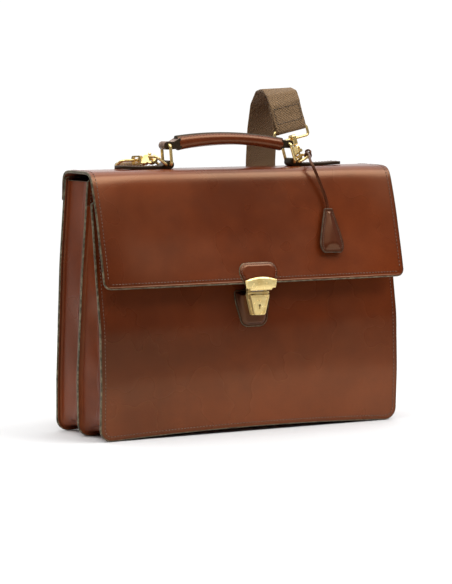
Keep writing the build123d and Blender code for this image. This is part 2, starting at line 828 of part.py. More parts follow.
with BuildPart() as key:
    with BuildSketch(bell_plane.offset(-key_half_thickness)):
        with Locations((0, -20)):
            Circle(7)
            Circle(2.2, mode=Mode.SUBTRACT)
        with Locations((0, -35)):
            Rectangle(3.4, 18)
        with Locations((2.6, -41)):
            Rectangle(4, 5)
    extrude(amount=2 * key_half_thickness)

lace_end = bell_plane.from_local_coords((0, -9))
lace_above = bell_plane.from_local_coords((-3, 19))
lace_entry = bell_plane.from_local_coords((0, 6.5))
lace_points = [(100.5, -8, 312), (95, -22, 309.5), (86.5, -35.5, 304), (87.5, -43.5, 295), lace_above,
               lace_entry, lace_end]
lace_points = [Vector(*point) for point in lace_points]


def corner_radii(points):
    """Each corner's radius: 0.45 of the shorter run over the tangent of half the turn."""
    radii = []
    for before, corner, after in zip(points, points[1:], points[2:]):
        turn = radians((corner - before).get_angle(after - corner))
        shorter = min((corner - before).length, (after - corner).length)
        radii.append(0.45 * shorter / tan(turn / 2))
    return radii


lace_radii = corner_radii(lace_points)
with BuildPart() as key_lace:
    with BuildLine() as route:
        FilletPolyline(*lace_points, radius=lace_radii)
    with BuildSketch(Plane(origin=route.line @ 0, z_dir=route.line % 0)):
        Circle(lace_radius)
    sweep()

# ---- write every piece ----
pieces = {
    "back_panel": back_panel, "divider_panel": divider_panel, "front_panel": front_panel,
    "rear_gusset": rear_gusset, "front_gusset": front_gusset,
    "flap_anchor_strip": flap_anchor_strip.part,
    "lock_base": lock_base.part, "lock_back_plate": lock_back_plate.part,
    "lock_rivets": lock_rivets.part, "lock_housing": lock_housing.part,
    "lock_plate": lock_plate.part, "lock_springs": lock_springs.part,
    "push_bar": push_bar.part, "latch_bolt": latch_bolt.part, "lock_cam": lock_cam.part,
    "flap_band": flap_band.part, "band_stiffener": band_stiffener.part,
    "flap_front": flap_front.part, "flap_lock_tab": flap_lock_tab.part,
    "catch_plate": catch_plate.part, "catch_staple": catch_staple.part,
    "catch_rivets": catch_rivets.part, "catch_back_plate": catch_back_plate.part,
    "tab_left": tab_left, "tab_right": tab_right,
    "ring_left": ring_left, "ring_right": ring_right,
    "handle_core": handle_core, "handle_cover": handle_cover.part,
    "handle_end_left": handle_end_left, "handle_end_right": handle_end_right,
    "dee_left": dee_left, "dee_right": dee_right,
    "hook_left": hook_left, "hook_right": hook_right,
    "gate_left": gate_left, "gate_right": gate_right,
    "eye_left": eye_left, "eye_right": eye_right,
    "loop_left": loop_left, "loop_right": loop_right,
    "strap_webbing": strap_webbing.part, "strap_slider": strap_slider.part,
    "clochette_cover": clochette_cover.part, "key": key.part, "key_lace": key_lace.part,
}
for name, piece in pieces.items():
    write(piece, name)
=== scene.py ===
import math

import bpy
import numpy as np
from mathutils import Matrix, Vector
from mathutils.bvhtree import BVHTree


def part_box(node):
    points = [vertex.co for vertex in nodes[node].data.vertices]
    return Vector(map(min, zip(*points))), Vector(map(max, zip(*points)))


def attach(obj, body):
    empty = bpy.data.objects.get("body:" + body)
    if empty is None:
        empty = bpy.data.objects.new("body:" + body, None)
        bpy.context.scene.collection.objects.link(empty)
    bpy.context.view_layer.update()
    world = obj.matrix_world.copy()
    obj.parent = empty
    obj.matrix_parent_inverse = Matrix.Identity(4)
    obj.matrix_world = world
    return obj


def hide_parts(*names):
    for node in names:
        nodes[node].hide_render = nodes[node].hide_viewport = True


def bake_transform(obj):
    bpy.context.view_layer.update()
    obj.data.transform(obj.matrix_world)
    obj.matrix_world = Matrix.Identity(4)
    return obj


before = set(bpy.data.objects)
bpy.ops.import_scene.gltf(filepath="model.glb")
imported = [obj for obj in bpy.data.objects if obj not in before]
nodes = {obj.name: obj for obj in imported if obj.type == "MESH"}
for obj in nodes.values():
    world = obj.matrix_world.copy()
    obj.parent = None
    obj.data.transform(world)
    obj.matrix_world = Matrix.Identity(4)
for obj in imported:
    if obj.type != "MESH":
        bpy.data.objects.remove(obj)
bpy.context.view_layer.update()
scene = bpy.context.scene
MM = 0.001


# ---- numbers and lines ----


trees = {}


def cast(node, origin, direction):
    """Where a ray meets a CAD node, or None."""
    if node not in trees:
        mesh = nodes[node].data
        polygons = [tuple(p.vertices) for p in mesh.polygons]
        trees[node] = BVHTree.FromPolygons([v.co for v in mesh.vertices], polygons)
    return trees[node].ray_cast(Vector(origin), Vector(direction))[0]


def unit(vectors):
    return vectors / np.maximum(np.linalg.norm(vectors, axis=-1, keepdims=True), 1e-12)


def smoothstep(low, high, value):
    share = np.clip((np.asarray(value, float) - low) / (high - low), 0, 1)
    return share * share * (3 - 2 * share)


def along_line(points):
    """How far along a line each of its points lies."""
    gaps = np.linalg.norm(np.diff(points, axis=0), axis=1)
    return np.concatenate([[0], np.cumsum(gaps)])


def resample(points, step):
    """The same open line with evenly spaced points."""
    points = np.asarray(points, float)
    along = along_line(points)
    count = max(2, int(round(along[-1] / step)) + 1)
    wanted = np.linspace(0, along[-1], count)
    return np.stack([np.interp(wanted, along, points[:, k]) for k in range(points.shape[1])], 1)


def soften(points, reach):
    """Rounds a line's corners by a running average; its ends stay where they are."""
    step = 0.5 * MM
    line = resample(points, step)
    count = max(1, int(reach / step))
    head = 2 * line[0] - line[1:count + 1][::-1]
    tail = 2 * line[-1] - line[-count - 1:-1][::-1]
    padded = np.concatenate([head, line, tail])
    kernel = np.hanning(2 * count + 3)[1:-1]
    kernel /= kernel.sum()
    return np.stack([np.convolve(padded[:, k], kernel, "valid") for k in range(line.shape[1])], 1)


class Profile:
    """A side line in (Y, Z), measured along its length, with its outward side on the left or right."""

    def __init__(self, points, reach, outward):
        self.line = soften(points, reach)
        self.along = along_line(self.line)
        self.length = self.along[-1]
        tangent = unit(np.gradient(self.line, axis=0))
        self.normal = outward * np.stack([tangent[:, 1], -tangent[:, 0]], 1)

    def at(self, distance, height=0.0):
        """(Y, Z) at a distance along the line and a height off it."""
        y = np.interp(distance, self.along, self.line[:, 0])
        z = np.interp(distance, self.along, self.line[:, 1])
        normal_y = np.interp(distance, self.along, self.normal[:, 0])
        normal_z = np.interp(distance, self.along, self.normal[:, 1])
        return y + normal_y * height, z + normal_z * height


class Strip:
    """A flat strip's outline: half widths at its two ends, its length and its corners' radii."""

    def __init__(self, half, length, start_radius=0.0, end_radius=0.0, end_half=None, start=0.0):
        self.half = half
        self.end_half = half if end_half is None else end_half
        self.start = start
        self.length = length
        self.radii = (start_radius, end_radius)

    def half_at(self, b):
        b = np.asarray(b, float) - self.start
        half = self.half + (self.end_half - self.half) * np.clip(b / self.length, 0, 1)
        for radius, from_end in ((self.radii[0], b), (self.radii[1], self.length - b)):
            if radius > 0:
                inside = np.clip(radius - from_end, 0, radius)
                half = half - (radius - np.sqrt(np.maximum(radius ** 2 - inside ** 2, 0)))
        return half

    def inset(self, distance):
        radii = [max(radius - distance, 0) for radius in self.radii]
        return Strip(self.half - distance, self.length - 2 * distance, radii[0], radii[1],
                     self.end_half - distance, self.start + distance)

    def rows(self, spacing, extra=()):
        """Distances along the strip, closer together where its corners turn."""
        found = {0.0, self.length}
        found.update(np.linspace(0, self.length, int(self.length / spacing) + 2))
        found.update(extra)
        found.update(self.length - x for x in extra)
        arc = np.linspace(0, math.pi / 2, 8)
        found.update(self.radii[0] * (1 - np.cos(arc)))
        found.update(self.length - self.radii[1] * (1 - np.cos(arc)))
        kept = []
        for value in sorted(found):
            if not kept or value - kept[-1] > 0.12 * MM:
                kept.append(value)
        kept[-1] = self.length
        return np.array(kept) + self.start

    def border(self, step, sides="left start right"):
        """Points along the outline's named sides, from the left end round the start to the right."""
        b = self.rows(step)
        half = self.half_at(b)
        left = np.stack([-half, b], 1)[::-1]
        right = np.stack([half, b], 1)
        parts = []
        if "left" in sides:
            parts.append(left)
        if "start" in sides:
            parts.append(np.stack([np.linspace(-half[0], half[0], 60), np.full(60, b[0])], 1))
        if "right" in sides:
            parts.append(right)
        if "end" in sides:
            parts.append(np.stack([np.linspace(half[-1], -half[-1], 60), np.full(60, b[-1])], 1))
        return np.concatenate(parts)


# ---- meshes ----


def tube_faces(rings, sides, first=0):
    """Faces of a closed tube: its wall between rings of points, and a cap at either end."""
    faces = []
    for k in range(rings - 1):
        low = first + k * sides
        for m in range(sides):
            n = (m + 1) % sides
            faces.append((low + m, low + n, low + sides + n, low + sides + m))
    faces.append(tuple(range(first, first + sides))[::-1])
    last = first + (rings - 1) * sides
    faces.append(tuple(range(last, last + sides)))
    return faces


def new_object(name, points, faces, materials, material_of=None):
    mesh = bpy.data.meshes.new(name)
    mesh.from_pydata(np.asarray(points, float).reshape(-1, 3).tolist(), [], faces)
    for material in materials:
        mesh.materials.append(material)
    if material_of is not None:
        mesh.polygons.foreach_set("material_index", material_of)
    mesh.polygons.foreach_set("use_smooth", [True] * len(mesh.polygons))
    mesh.update()
    obj = bpy.data.objects.new(name, mesh)
    scene.collection.objects.link(obj)
    return obj


def point_values(obj, name, values):
    """Stores one number for each vertex, for a material to read."""
    attribute = obj.data.attributes.new(name, "FLOAT", "POINT")
    attribute.data.foreach_set("value", np.asarray(values, np.float32).ravel())


def grid_normals(grid):
    along = np.gradient(grid, axis=0)
    across = np.gradient(grid, axis=1)
    return unit(np.cross(across, along))


def shell(name, grid, thickness, materials, toward, bulge=0.45, rim=None):
    """A closed sheet whose outer face is a grid of points, with a half-round edge all round it.
    toward is a rough outward direction, for one grid point near the middle."""
    grid = np.asarray(grid, float)
    rows, columns = grid.shape[:2]
    normals = grid_normals(grid)
    middle = normals[rows // 2, columns // 2]
    flipped = float(np.dot(middle, toward)) < 0
    if flipped:
        normals = -normals
    back = grid - normals * np.broadcast_to(thickness, (rows, columns))[:, :, None]
    index = np.arange(rows * columns).reshape(rows, columns)
    offset = rows * columns
    faces = []
    kinds = []

    def quad(a, b, c, d, kind):
        faces.append((a, b, c, d) if flipped else (d, c, b, a))
        kinds.append(kind)

    for i in range(rows - 1):
        for j in range(columns - 1):
            a, b, c, d = index[i, j], index[i, j + 1], index[i + 1, j + 1], index[i + 1, j]
            quad(int(a), int(d), int(c), int(b), 0)
            quad(int(a) + offset, int(b) + offset, int(c) + offset, int(d) + offset, 2)
    loop = list(index[0, :]) + list(index[1:, -1]) + list(index[-1, -2::-1]) + list(index[-2:0:-1, 0])
    loop = [int(k) for k in loop]
    flat = grid.reshape(-1, 3)
    flat_back = back.reshape(-1, 3)
    top = flat[loop]
    low = flat_back[loop]
    tangent = unit(np.roll(top, -1, 0) - np.roll(top, 1, 0))
    rise = unit(top - low)
    reach = np.linalg.norm(top - low, axis=1)[:, None]
    outward = np.cross(tangent, rise)
    centre = grid[rows // 2, columns // 2]
    nearest = unit(top - centre)
    if np.mean(np.sum(outward * nearest, 1)) < 0:
        outward = -outward
    steps = 5
    rings = []
    for k in range(1, steps):
        angle = math.pi * k / steps
        rings.append((top + low) / 2 + rise * reach / 2 * math.cos(angle)
                     + outward * reach * bulge * math.sin(angle))
    points = np.concatenate([flat, flat_back] + rings)
    count = len(loop)
    chains = [np.array(loop)]
    for k in range(steps - 1):
        chains.append(2 * offset + k * count + np.arange(count))
    chains.append(np.array(loop) + offset)
    for first, second in zip(chains, chains[1:]):
        for k in range(count):
            n = (k + 1) % count
            quad(int(first[k]), int(first[n]), int(second[n]), int(second[k]), 1)
    obj = new_object(name, points, faces, materials, kinds)
    values = np.zeros(len(points))
    if rim is not None:
        values[:offset] = np.asarray(rim).ravel()
        values[offset:2 * offset] = np.asarray(rim).ravel()
    values[2 * offset:] = 1
    point_values(obj, "rim", values)
    return obj


EDGE_INSETS = np.array([0, 0.45, 1.3, 1.9, 2.5, 3.4, 4.4, 5.4, 7.5]) * MM


def across_shares(half, count):
    """Shares from -1 to 1 across a strip, with extra lines just inside both edges."""
    near = 1 - EDGE_INSETS / half
    inner = np.linspace(-near[-1], near[-1], count)
    return np.concatenate([-near[:-1], inner, near[:-1][::-1]])


def flat_grid(strip, spacing, count):
    """Grid values (a, b) over a strip and each point's distance from its edge."""
    b = strip.rows(spacing, EDGE_INSETS)
    shares = across_shares(strip.half, count)
    half = strip.half_at(b)
    a = half[:, None] * shares[None, :]
    b = np.repeat(b[:, None], len(shares), 1)
    from_side = half[:, None] - np.abs(a)
    from_ends = np.minimum(b - strip.start, strip.start + strip.length - b)
    return a, b, np.minimum(from_side, from_ends)


def crease(distance, depth=0.22 * MM, at=1.9 * MM):
    """The tooled line just inside a leather edge."""
    return -depth * np.exp(-((distance - at) / (0.45 * MM)) ** 2)


def burnish_and_seam_shade(distance, seam=4.4 * MM):
    """Where a leather sheet is darkened: its burnished edge, and painted shade along the line of its
    stitches, where their holes would lie in shade.
    """
    burnish = 0.75 * (1 - smoothstep(0.5 * MM, 4.0 * MM, distance))
    return np.maximum(burnish, 1.0 * np.exp(-((distance - seam) / (0.75 * MM)) ** 2))


def paint_shade(obj, shade):
    """Stores painted shade at each point: how far the colour is darkened, from a function of X and Z."""
    count = len(obj.data.vertices)
    where = np.empty(3 * count, np.float32)
    obj.data.vertices.foreach_get("co", where)
    where = where.reshape(-1, 3)
    point_values(obj, "painted_shade", shade(where[:, 0], where[:, 2]))


def leather_sheet(name, strip, place, thickness, materials, toward, spacing=4 * MM, count=60):
    a, b, distance = flat_grid(strip, spacing, count)
    # The rim amount: burnished edge, with painted shade along the stitch line.
    rim = burnish_and_seam_shade(distance, 4.2 * MM)
    return shell(name, place(a, b, crease(distance)), thickness, materials, toward, rim=rim)


def stitch_row(name, path, normals, material, pitch=4.0 * MM, length=2.7 * MM, radius=0.42 * MM,
               slant=0.0):
    """Thread stitches along a line that lies on a surface."""
    path = np.asarray(path, float)
    normals = np.asarray(normals, float)
    along = along_line(path)
    count = int(along[-1] / pitch)
    starts = (np.arange(count) + 0.5) * along[-1] / count - length / 2
    shares = np.array([0, 0.18, 0.5, 0.82, 1])
    lifts = np.array([-0.9, 0.2, 0.55, 0.2, -0.9]) * radius
    sizes = np.array([0.55, 0.95, 1, 0.95, 0.55]) * radius
    sides = 6
    angles = np.arange(sides) * 2 * math.pi / sides
    where = starts[:, None] + shares[None, :] * length
    centre = np.stack([np.interp(where, along, path[:, k]) for k in range(3)], -1)
    normal = unit(np.stack([np.interp(where, along, normals[:, k]) for k in range(3)], -1))
    heading = unit(centre[:, -1] - centre[:, 0])[:, None, :] * np.ones((1, len(shares), 1))
    side = unit(np.cross(heading, normal))
    centre = centre + normal * lifts[None, :, None]
    centre = centre + side * ((shares - 0.5) * slant * length)[None, :, None]
    ring = (side[:, :, None, :] * np.cos(angles)[None, None, :, None]
            + normal[:, :, None, :] * np.sin(angles)[None, None, :, None])
    points = centre[:, :, None, :] + ring * sizes[None, :, None, None]
    rings = len(shares)
    faces = []
    for stitch in range(count):
        faces += tube_faces(rings, sides, stitch * rings * sides)
    return new_object(name, points, faces, [material])


def stitch_sheet(name, strip, place, inset, sides, material, **options):
    """Stitches along a sheet's edge, inset from it by a distance."""
    flat = resample(strip.inset(inset).border(3 * MM, sides), 1.5 * MM)
    path = place(flat[:, 0], flat[:, 1], np.zeros(len(flat)))
    above = place(flat[:, 0], flat[:, 1], np.full(len(flat), MM))
    return stitch_row(name, path, unit(above - path), material, **options)


def tube(name, path, radius, material, sides):
    """A round tube along points."""
    tangent = unit(np.gradient(path, axis=0))
    normal = np.zeros_like(path)
    start = np.array([0, 0, 1.0]) if abs(tangent[0][2]) < 0.9 else np.array([0, 1.0, 0])
    normal[0] = unit(start - tangent[0] * np.dot(start, tangent[0]))
    for k in range(1, len(path)):
        normal[k] = unit(normal[k - 1] - tangent[k] * np.dot(normal[k - 1], tangent[k]))
    side = np.cross(tangent, normal)
    angles = np.arange(sides) * 2 * math.pi / sides
    ring = (normal[:, None, :] * np.cos(angles)[None, :, None]
            + side[:, None, :] * np.sin(angles)[None, :, None])
    points = path[:, None, :] + ring * radius
    return new_object(name, points, tube_faces(len(path), sides), [material])


# ---- materials ----


class Nodes:
    """A material's node tree, with short calls for the nodes that the materials share."""

    def __init__(self, name):
        self.material = bpy.data.materials.new(name)
        self.material.use_nodes = True
        self.tree = self.material.node_tree
        self.shader = self.tree.nodes["Principled BSDF"]
        self.place = self.tree.nodes.new("ShaderNodeTexCoord").outputs["Object"]

    def set(self, **values):
        for name, value in values.items():
            label = name.replace("_", " ").title().replace("Ior", "IOR")
            self.shader.inputs[label].default_value = value

    def link(self, output, target):
        self.tree.links.new(output, target)

    def noise(self, scale, detail=2.0, roughness=0.5, stretch=None, distortion=0.0):
        node = self.tree.nodes.new("ShaderNodeTexNoise")
        node.inputs["Scale"].default_value = scale
        node.inputs["Detail"].default_value = detail
        node.inputs["Roughness"].default_value = roughness
        node.inputs["Distortion"].default_value = distortion
        source = self.place
        if stretch is not None:
            mapping = self.tree.nodes.new("ShaderNodeMapping")
            mapping.inputs["Scale"].default_value = stretch
            self.link(self.place, mapping.inputs["Vector"])
            source = mapping.outputs["Vector"]
        self.link(source, node.inputs["Vector"])
        return node.outputs["Fac"]

    def cells(self, scale):
        node = self.tree.nodes.new("ShaderNodeTexVoronoi")
        node.feature = "DISTANCE_TO_EDGE"
        node.inputs["Scale"].default_value = scale
        self.link(self.place, node.inputs["Vector"])
        return node.outputs["Distance"]

    def value(self, attribute):
        node = self.tree.nodes.new("ShaderNodeAttribute")
        node.attribute_name = attribute
        return node.outputs["Fac"]

    def spread(self, source, low, high, to_low=0.0, to_high=1.0):
        node = self.tree.nodes.new("ShaderNodeMapRange")
        node.interpolation_type = "SMOOTHSTEP"
        node.inputs["From Min"].default_value = low
        node.inputs["From Max"].default_value = high
        node.inputs["To Min"].default_value = to_low
        node.inputs["To Max"].default_value = to_high
        self.link(source, node.inputs["Value"])
        return node.outputs["Result"]

    def math(self, operation, first, second):
        node = self.tree.nodes.new("ShaderNodeMath")
        node.operation = operation
        for socket, value in zip(node.inputs, (first, second)):
            if isinstance(value, (int, float)):
                socket.default_value = value
            else:
                self.link(value, socket)
        return node.outputs[0]

    def blend(self, share, first, second, mode="MIX"):
        node = self.tree.nodes.new("ShaderNodeMix")
        node.data_type = "RGBA"
        node.blend_type = mode
        sockets = (node.inputs[0], node.inputs[6], node.inputs[7])
        for socket, value in zip(sockets, (share, first, second)):
            if isinstance(value, tuple):
                socket.default_value = (*value, 1)
            elif isinstance(value, (int, float)):
                socket.default_value = value
            else:
                self.link(value, socket)
        return node.outputs[2]

    def bump(self, height, distance, strength=1.0, under=None):
        node = self.tree.nodes.new("ShaderNodeBump")
        node.inputs["Distance"].default_value = distance
        node.inputs["Strength"].default_value = strength
        self.link(height, node.inputs["Height"])
        if under is not None:
            self.link(under, node.inputs["Normal"])
        return node.outputs["Normal"]

    def finish(self, colour=None, roughness=None, normal=None):
        if colour is not None:
            self.link(colour, self.shader.inputs["Base Color"])
        if roughness is not None:
            self.link(roughness, self.shader.inputs["Roughness"])
        if normal is not None:
            self.link(normal, self.shader.inputs["Normal"])
        return self.material


def leather_material(name, dark, light, low_roughness, high_roughness, gloss=0.5, grain=1.0):
    """Polished calf: softly mottled dye, a fine pore grain and burnished edges, darkened further by
    painted shade stored on the points.
    """
    n = Nodes(name)
    clouds = n.noise(5, 2, 0.5)
    mottle = n.noise(45, 3, 0.5)
    share = n.math("ADD", n.math("MULTIPLY", clouds, 0.75), n.math("MULTIPLY", mottle, 0.25))
    colour = n.blend(n.spread(share, 0.28, 0.70), dark, light)
    fibres = n.noise(300, 3, 0.6, stretch=(1, 1, 2.0))
    colour = n.blend(n.spread(fibres, 0.35, 0.75, 0.0, 0.14), colour, tuple(c * 0.62 for c in dark))
    # Painted shade: darkens the colour by the shade amount stored on the points.
    colour = n.blend(n.value("painted_shade"), colour, tuple(c * 0.42 for c in dark))
    # The rim amount darkens the colour: real burnish at the edges, and painted shade along the stitch
    # lines.
    rim = n.value("rim")
    colour = n.blend(n.math("MULTIPLY", rim, 0.5), colour, tuple(c * 0.42 for c in dark))
    polish = n.spread(n.noise(14, 2, 0.5), 0.3, 0.7, low_roughness, high_roughness)
    pores = n.cells(1100)
    normal = n.bump(n.spread(pores, 0.0, 0.25), 0.00003 * grain, 0.22)
    normal = n.bump(n.noise(220, 2, 0.5), 0.00015 * grain, 0.16, normal)
    n.set(ior=1.5, specular_ior_level=gloss, specular_tint=(1.0, 0.60, 0.34, 1))
    return n.finish(colour, polish, normal)


def painted_edge_material(name, dark, light):
    """The olive-brown paint on a cut leather edge, paler in scattered noise patches."""
    n = Nodes(name)
    pale_patches = n.noise(240, 4, 0.65)
    colour = n.blend(n.spread(pale_patches, 0.38, 0.7), dark, light)
    normal = n.bump(n.noise(900, 3, 0.6), 0.00012, 0.4)
    n.set(specular_tint=(1.0, 0.9, 0.7, 1))
    return n.finish(colour, n.spread(pale_patches, 0.3, 0.7, 0.34, 0.5), normal)


def thread_material(name, dark, light):
    n = Nodes(name)
    twist = n.noise(1400, 2, 0.5)
    colour = n.blend(n.spread(twist, 0.3, 0.7), dark, light)
    n.set(roughness=0.7, sheen_weight=0.2)
    return n.finish(colour, None, n.bump(twist, 0.0001, 0.6))


def metal_material(name, dark, light, low_roughness, high_roughness, metallic=1.0):
    """Polished cast metal with a faint tarnish and hairline scratches."""
    n = Nodes(name)
    tarnish = n.noise(130, 4, 0.6)
    colour = n.blend(n.spread(tarnish, 0.35, 0.75), light, dark)
    scratches = n.noise(700, 2, 0.5, stretch=(1, 1, 6))
    roughness = n.spread(n.noise(220, 5, 0.65), 0.3, 0.75, low_roughness, high_roughness)
    normal = n.bump(scratches, 0.00002, 0.15)
    normal = n.bump(n.noise(90, 2, 0.5), 0.0004, 0.04, normal)
    n.set(metallic=metallic)
    return n.finish(colour, roughness, normal)


def webbing_material(name, dark, light):
    """Ribbed cotton webbing: weft ribs across the strap and twill steps along it."""
    n = Nodes(name)
    along = n.value("along")
    across = n.value("across")
    ribs = n.math("SINE", n.math("MULTIPLY", along, 2 * math.pi / 1.9 / MM), 0)
    warps = n.math("SINE", n.math("MULTIPLY", across, 2 * math.pi / 2.4 / MM), 0)
    twill = n.math("SINE", n.math("MULTIPLY", n.math("ADD", along, across), 2 * math.pi / 3.6 / MM), 0)
    weave = n.math("ADD", n.math("MULTIPLY", ribs, warps), n.math("MULTIPLY", twill, 0.5))
    fuzz = n.noise(900, 3, 0.6)
    share = n.math("ADD", n.spread(weave, -1.5, 1.5, 0.0, 0.7), n.math("MULTIPLY", fuzz, 0.5))
    colour = n.blend(share, dark, light)
    normal = n.bump(weave, 0.0005, 0.9)
    normal = n.bump(fuzz, 0.0002, 0.4, normal)
    n.set(roughness=0.85, sheen_weight=0.25, sheen_roughness=0.4)
    return n.finish(colour, None, normal)


def matt_material(name, dark, light, scale, depth):
    n = Nodes(name)
    grain = n.noise(scale, 5, 0.65)
    n.set(roughness=0.85)
    return n.finish(n.blend(n.spread(grain, 0.3, 0.7), dark, light), None, n.bump(grain, depth, 0.6))


cognac = leather_material("cognac_leather", (0.082, 0.0122, 0.0026), (0.168, 0.0305, 0.0068),
                          0.24, 0.32, 0.75)
soft_cognac = leather_material("soft_cognac_leather", (0.095, 0.0145, 0.0030), (0.190, 0.0350, 0.0080),
                               0.27, 0.37, 0.45, 1.6)
dark_leather = leather_material("dark_leather", (0.011, 0.0085, 0.005), (0.028, 0.020, 0.012),
                                0.34, 0.46, 0.4)
inner_leather = leather_material("inner_leather", (0.075, 0.014, 0.005), (0.12, 0.025, 0.009),
                                 0.45, 0.6, 0.4, 2.0)
dark_cognac = leather_material("dark_cognac_leather", (0.040, 0.0085, 0.0032), (0.082, 0.0170, 0.0058),
                               0.28, 0.38, 0.7)
edge_paint = painted_edge_material("edge_paint", (0.040, 0.030, 0.015), (0.20, 0.165, 0.10))
bell_edge = painted_edge_material("bell_edge", (0.022, 0.011, 0.006), (0.13, 0.075, 0.045))
pale_edge = painted_edge_material("pale_edge", (0.14, 0.075, 0.052), (0.32, 0.21, 0.16))
thread = thread_material("thread", (0.035, 0.014, 0.008), (0.26, 0.13, 0.075))
strap_thread = thread_material("strap_thread", (0.022, 0.013, 0.008), (0.085, 0.055, 0.034))
brass = metal_material("brass", (0.78, 0.52, 0.17), (0.95, 0.74, 0.33), 0.16, 0.28, metallic=0.72)
plate_brass = metal_material("plate_brass", (0.82, 0.58, 0.21), (0.97, 0.76, 0.34), 0.18, 0.30,
                             metallic=0.45)
steel = metal_material("steel", (0.40, 0.40, 0.41), (0.62, 0.62, 0.63), 0.22, 0.4)
webbing = webbing_material("webbing", (0.120, 0.066, 0.026), (0.320, 0.185, 0.078))
board = matt_material("board", (0.10, 0.050, 0.026), (0.19, 0.105, 0.060), 300, 0.0002)
rope = matt_material("rope_core", (0.5, 0.45, 0.36), (0.75, 0.70, 0.60), 600, 0.0004)
leather_faces = [cognac, edge_paint, inner_leather]


# ---- side lines, read off the CAD panels ----


def side_line(node, x, low, high, from_y, count=60):
    """The (Y, Z) points where level rays from one side meet a node, from low to high."""
    points = []
    for z in np.linspace(low, high, count):
        hit = cast(node, (x, from_y, z), (0, -math.copysign(1, from_y), 0))
        if hit is not None:
            points.append((hit.y, hit.z))
    return points


half_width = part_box("back_panel")[1].x
inset_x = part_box("front_gusset")[1].x
corner_radius = 14 * MM
bottom_arch = 5 * MM
hair = 0.2 * MM


def panel_profile(node, outside):
    """The smoothed side line of a body panel's outer face; outside is -1 at the front, 1 at the back."""
    low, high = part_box(node)
    points = side_line(node, 0.11, low.z + hair, high.z - hair, outside)
    points = [(points[0][0], 0.0)] + points + [(points[-1][0], high.z)]
    return Profile(points, 14 * MM, outside)


front_profile = panel_profile("front_panel", -1)
divider_profile = panel_profile("divider_panel", -1)
back_profile = panel_profile("back_panel", 1)


def arch_lift(a, b):
    """How far the bottom edge rises at mid-length; it fades out up the panel."""
    return bottom_arch * (1 - np.clip(np.abs(a) / half_width, 0, 1) ** 2) * (1 - smoothstep(0, 0.16, b))


def panel_place(profile, warp=1.0 * MM, phase=0.0):
    """The surface of a hanging leather panel: its side line, bowed bottom edge and slow ripples."""

    def place(a, b, height):
        y, z = profile.at(b, height)
        side = math.copysign(1, profile.normal[0][0])
        ripple = np.sin(a * 17 + phase) * np.sin(b * 13 + 0.7 * phase) + 0.5 * np.sin(a * 31 + 2 + b * 9)
        hold = smoothstep(0, 0.05, half_width - np.abs(a)) * smoothstep(0, 0.04, b)
        sole = 0.9 * MM * (1 - smoothstep(0, 0.02, b))
        return np.stack([a, y + side * warp * ripple * hold, z + arch_lift(a, b) + sole], -1)

    return place


def soft_panel(name, node, profile, thickness, phase):
    strip = Strip(half_width, profile.length, corner_radius, 3 * MM)
    place = panel_place(profile, phase=phase)
    toward = (0, profile.normal[0][0], 0)
    panel = leather_sheet(name, strip, place, thickness, leather_faces, toward, 5 * MM, 70)
    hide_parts(node)
    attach(panel, "bag")
    sewn = stitch_sheet(name + "_stitching", strip, place, 4.2 * MM, "left start right", thread)
    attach(sewn, "bag")
    return panel


panel_thickness = 3 * MM
divider_thickness = 2.5 * MM
front_leather = soft_panel("front_panel_leather", "front_panel", front_profile, panel_thickness, 0.4)
# Painted shade: the front panel's colour darkened on its left side and around mid height.
paint_shade(front_leather, lambda x, z: (0.42 + 0.28 * (1 - smoothstep(-0.19, -0.03, x)))
           * np.exp(-((z - 0.100) / 0.042) ** 2))
soft_panel("divider_leather", "divider_panel", divider_profile, divider_thickness, 1.9)
soft_panel("back_panel_leather", "back_panel", back_profile, panel_thickness, 3.1)

# ---- gussets: folded bellows between two panels, with flanges sewn to them ----

gusset_thickness = 1.6 * MM
flange_reach = 3.9 * MM


def gusset_path(top, radius, step):
    """(X, Z) points round a gusset's U from its left top, with inward directions."""
    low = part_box("front_gusset")[0].z
    outer = inset_x
    arc = np.linspace(0, math.pi / 2, 12)
    corner = np.stack([-outer + radius * (1 - np.cos(arc)), low + radius * (1 - np.sin(arc))], 1)
    left = np.concatenate([[[-outer, top]], corner])
    right = left[::-1] * [-1, 1]
    line = resample(np.concatenate([left, right]), step)
    tangent = unit(np.gradient(line, axis=0))
    inward = np.stack([-tangent[:, 1], tangent[:, 0]], 1)
    return line, inward


def gusset_waves(z, side, wavy):
    """Slow unevenness of the fold line up one side."""
    return wavy * (np.sin(z * 52 + side) + 0.6 * np.sin(z * 95 + 1.3 * side) + 0.3 * np.sin(z * 170))


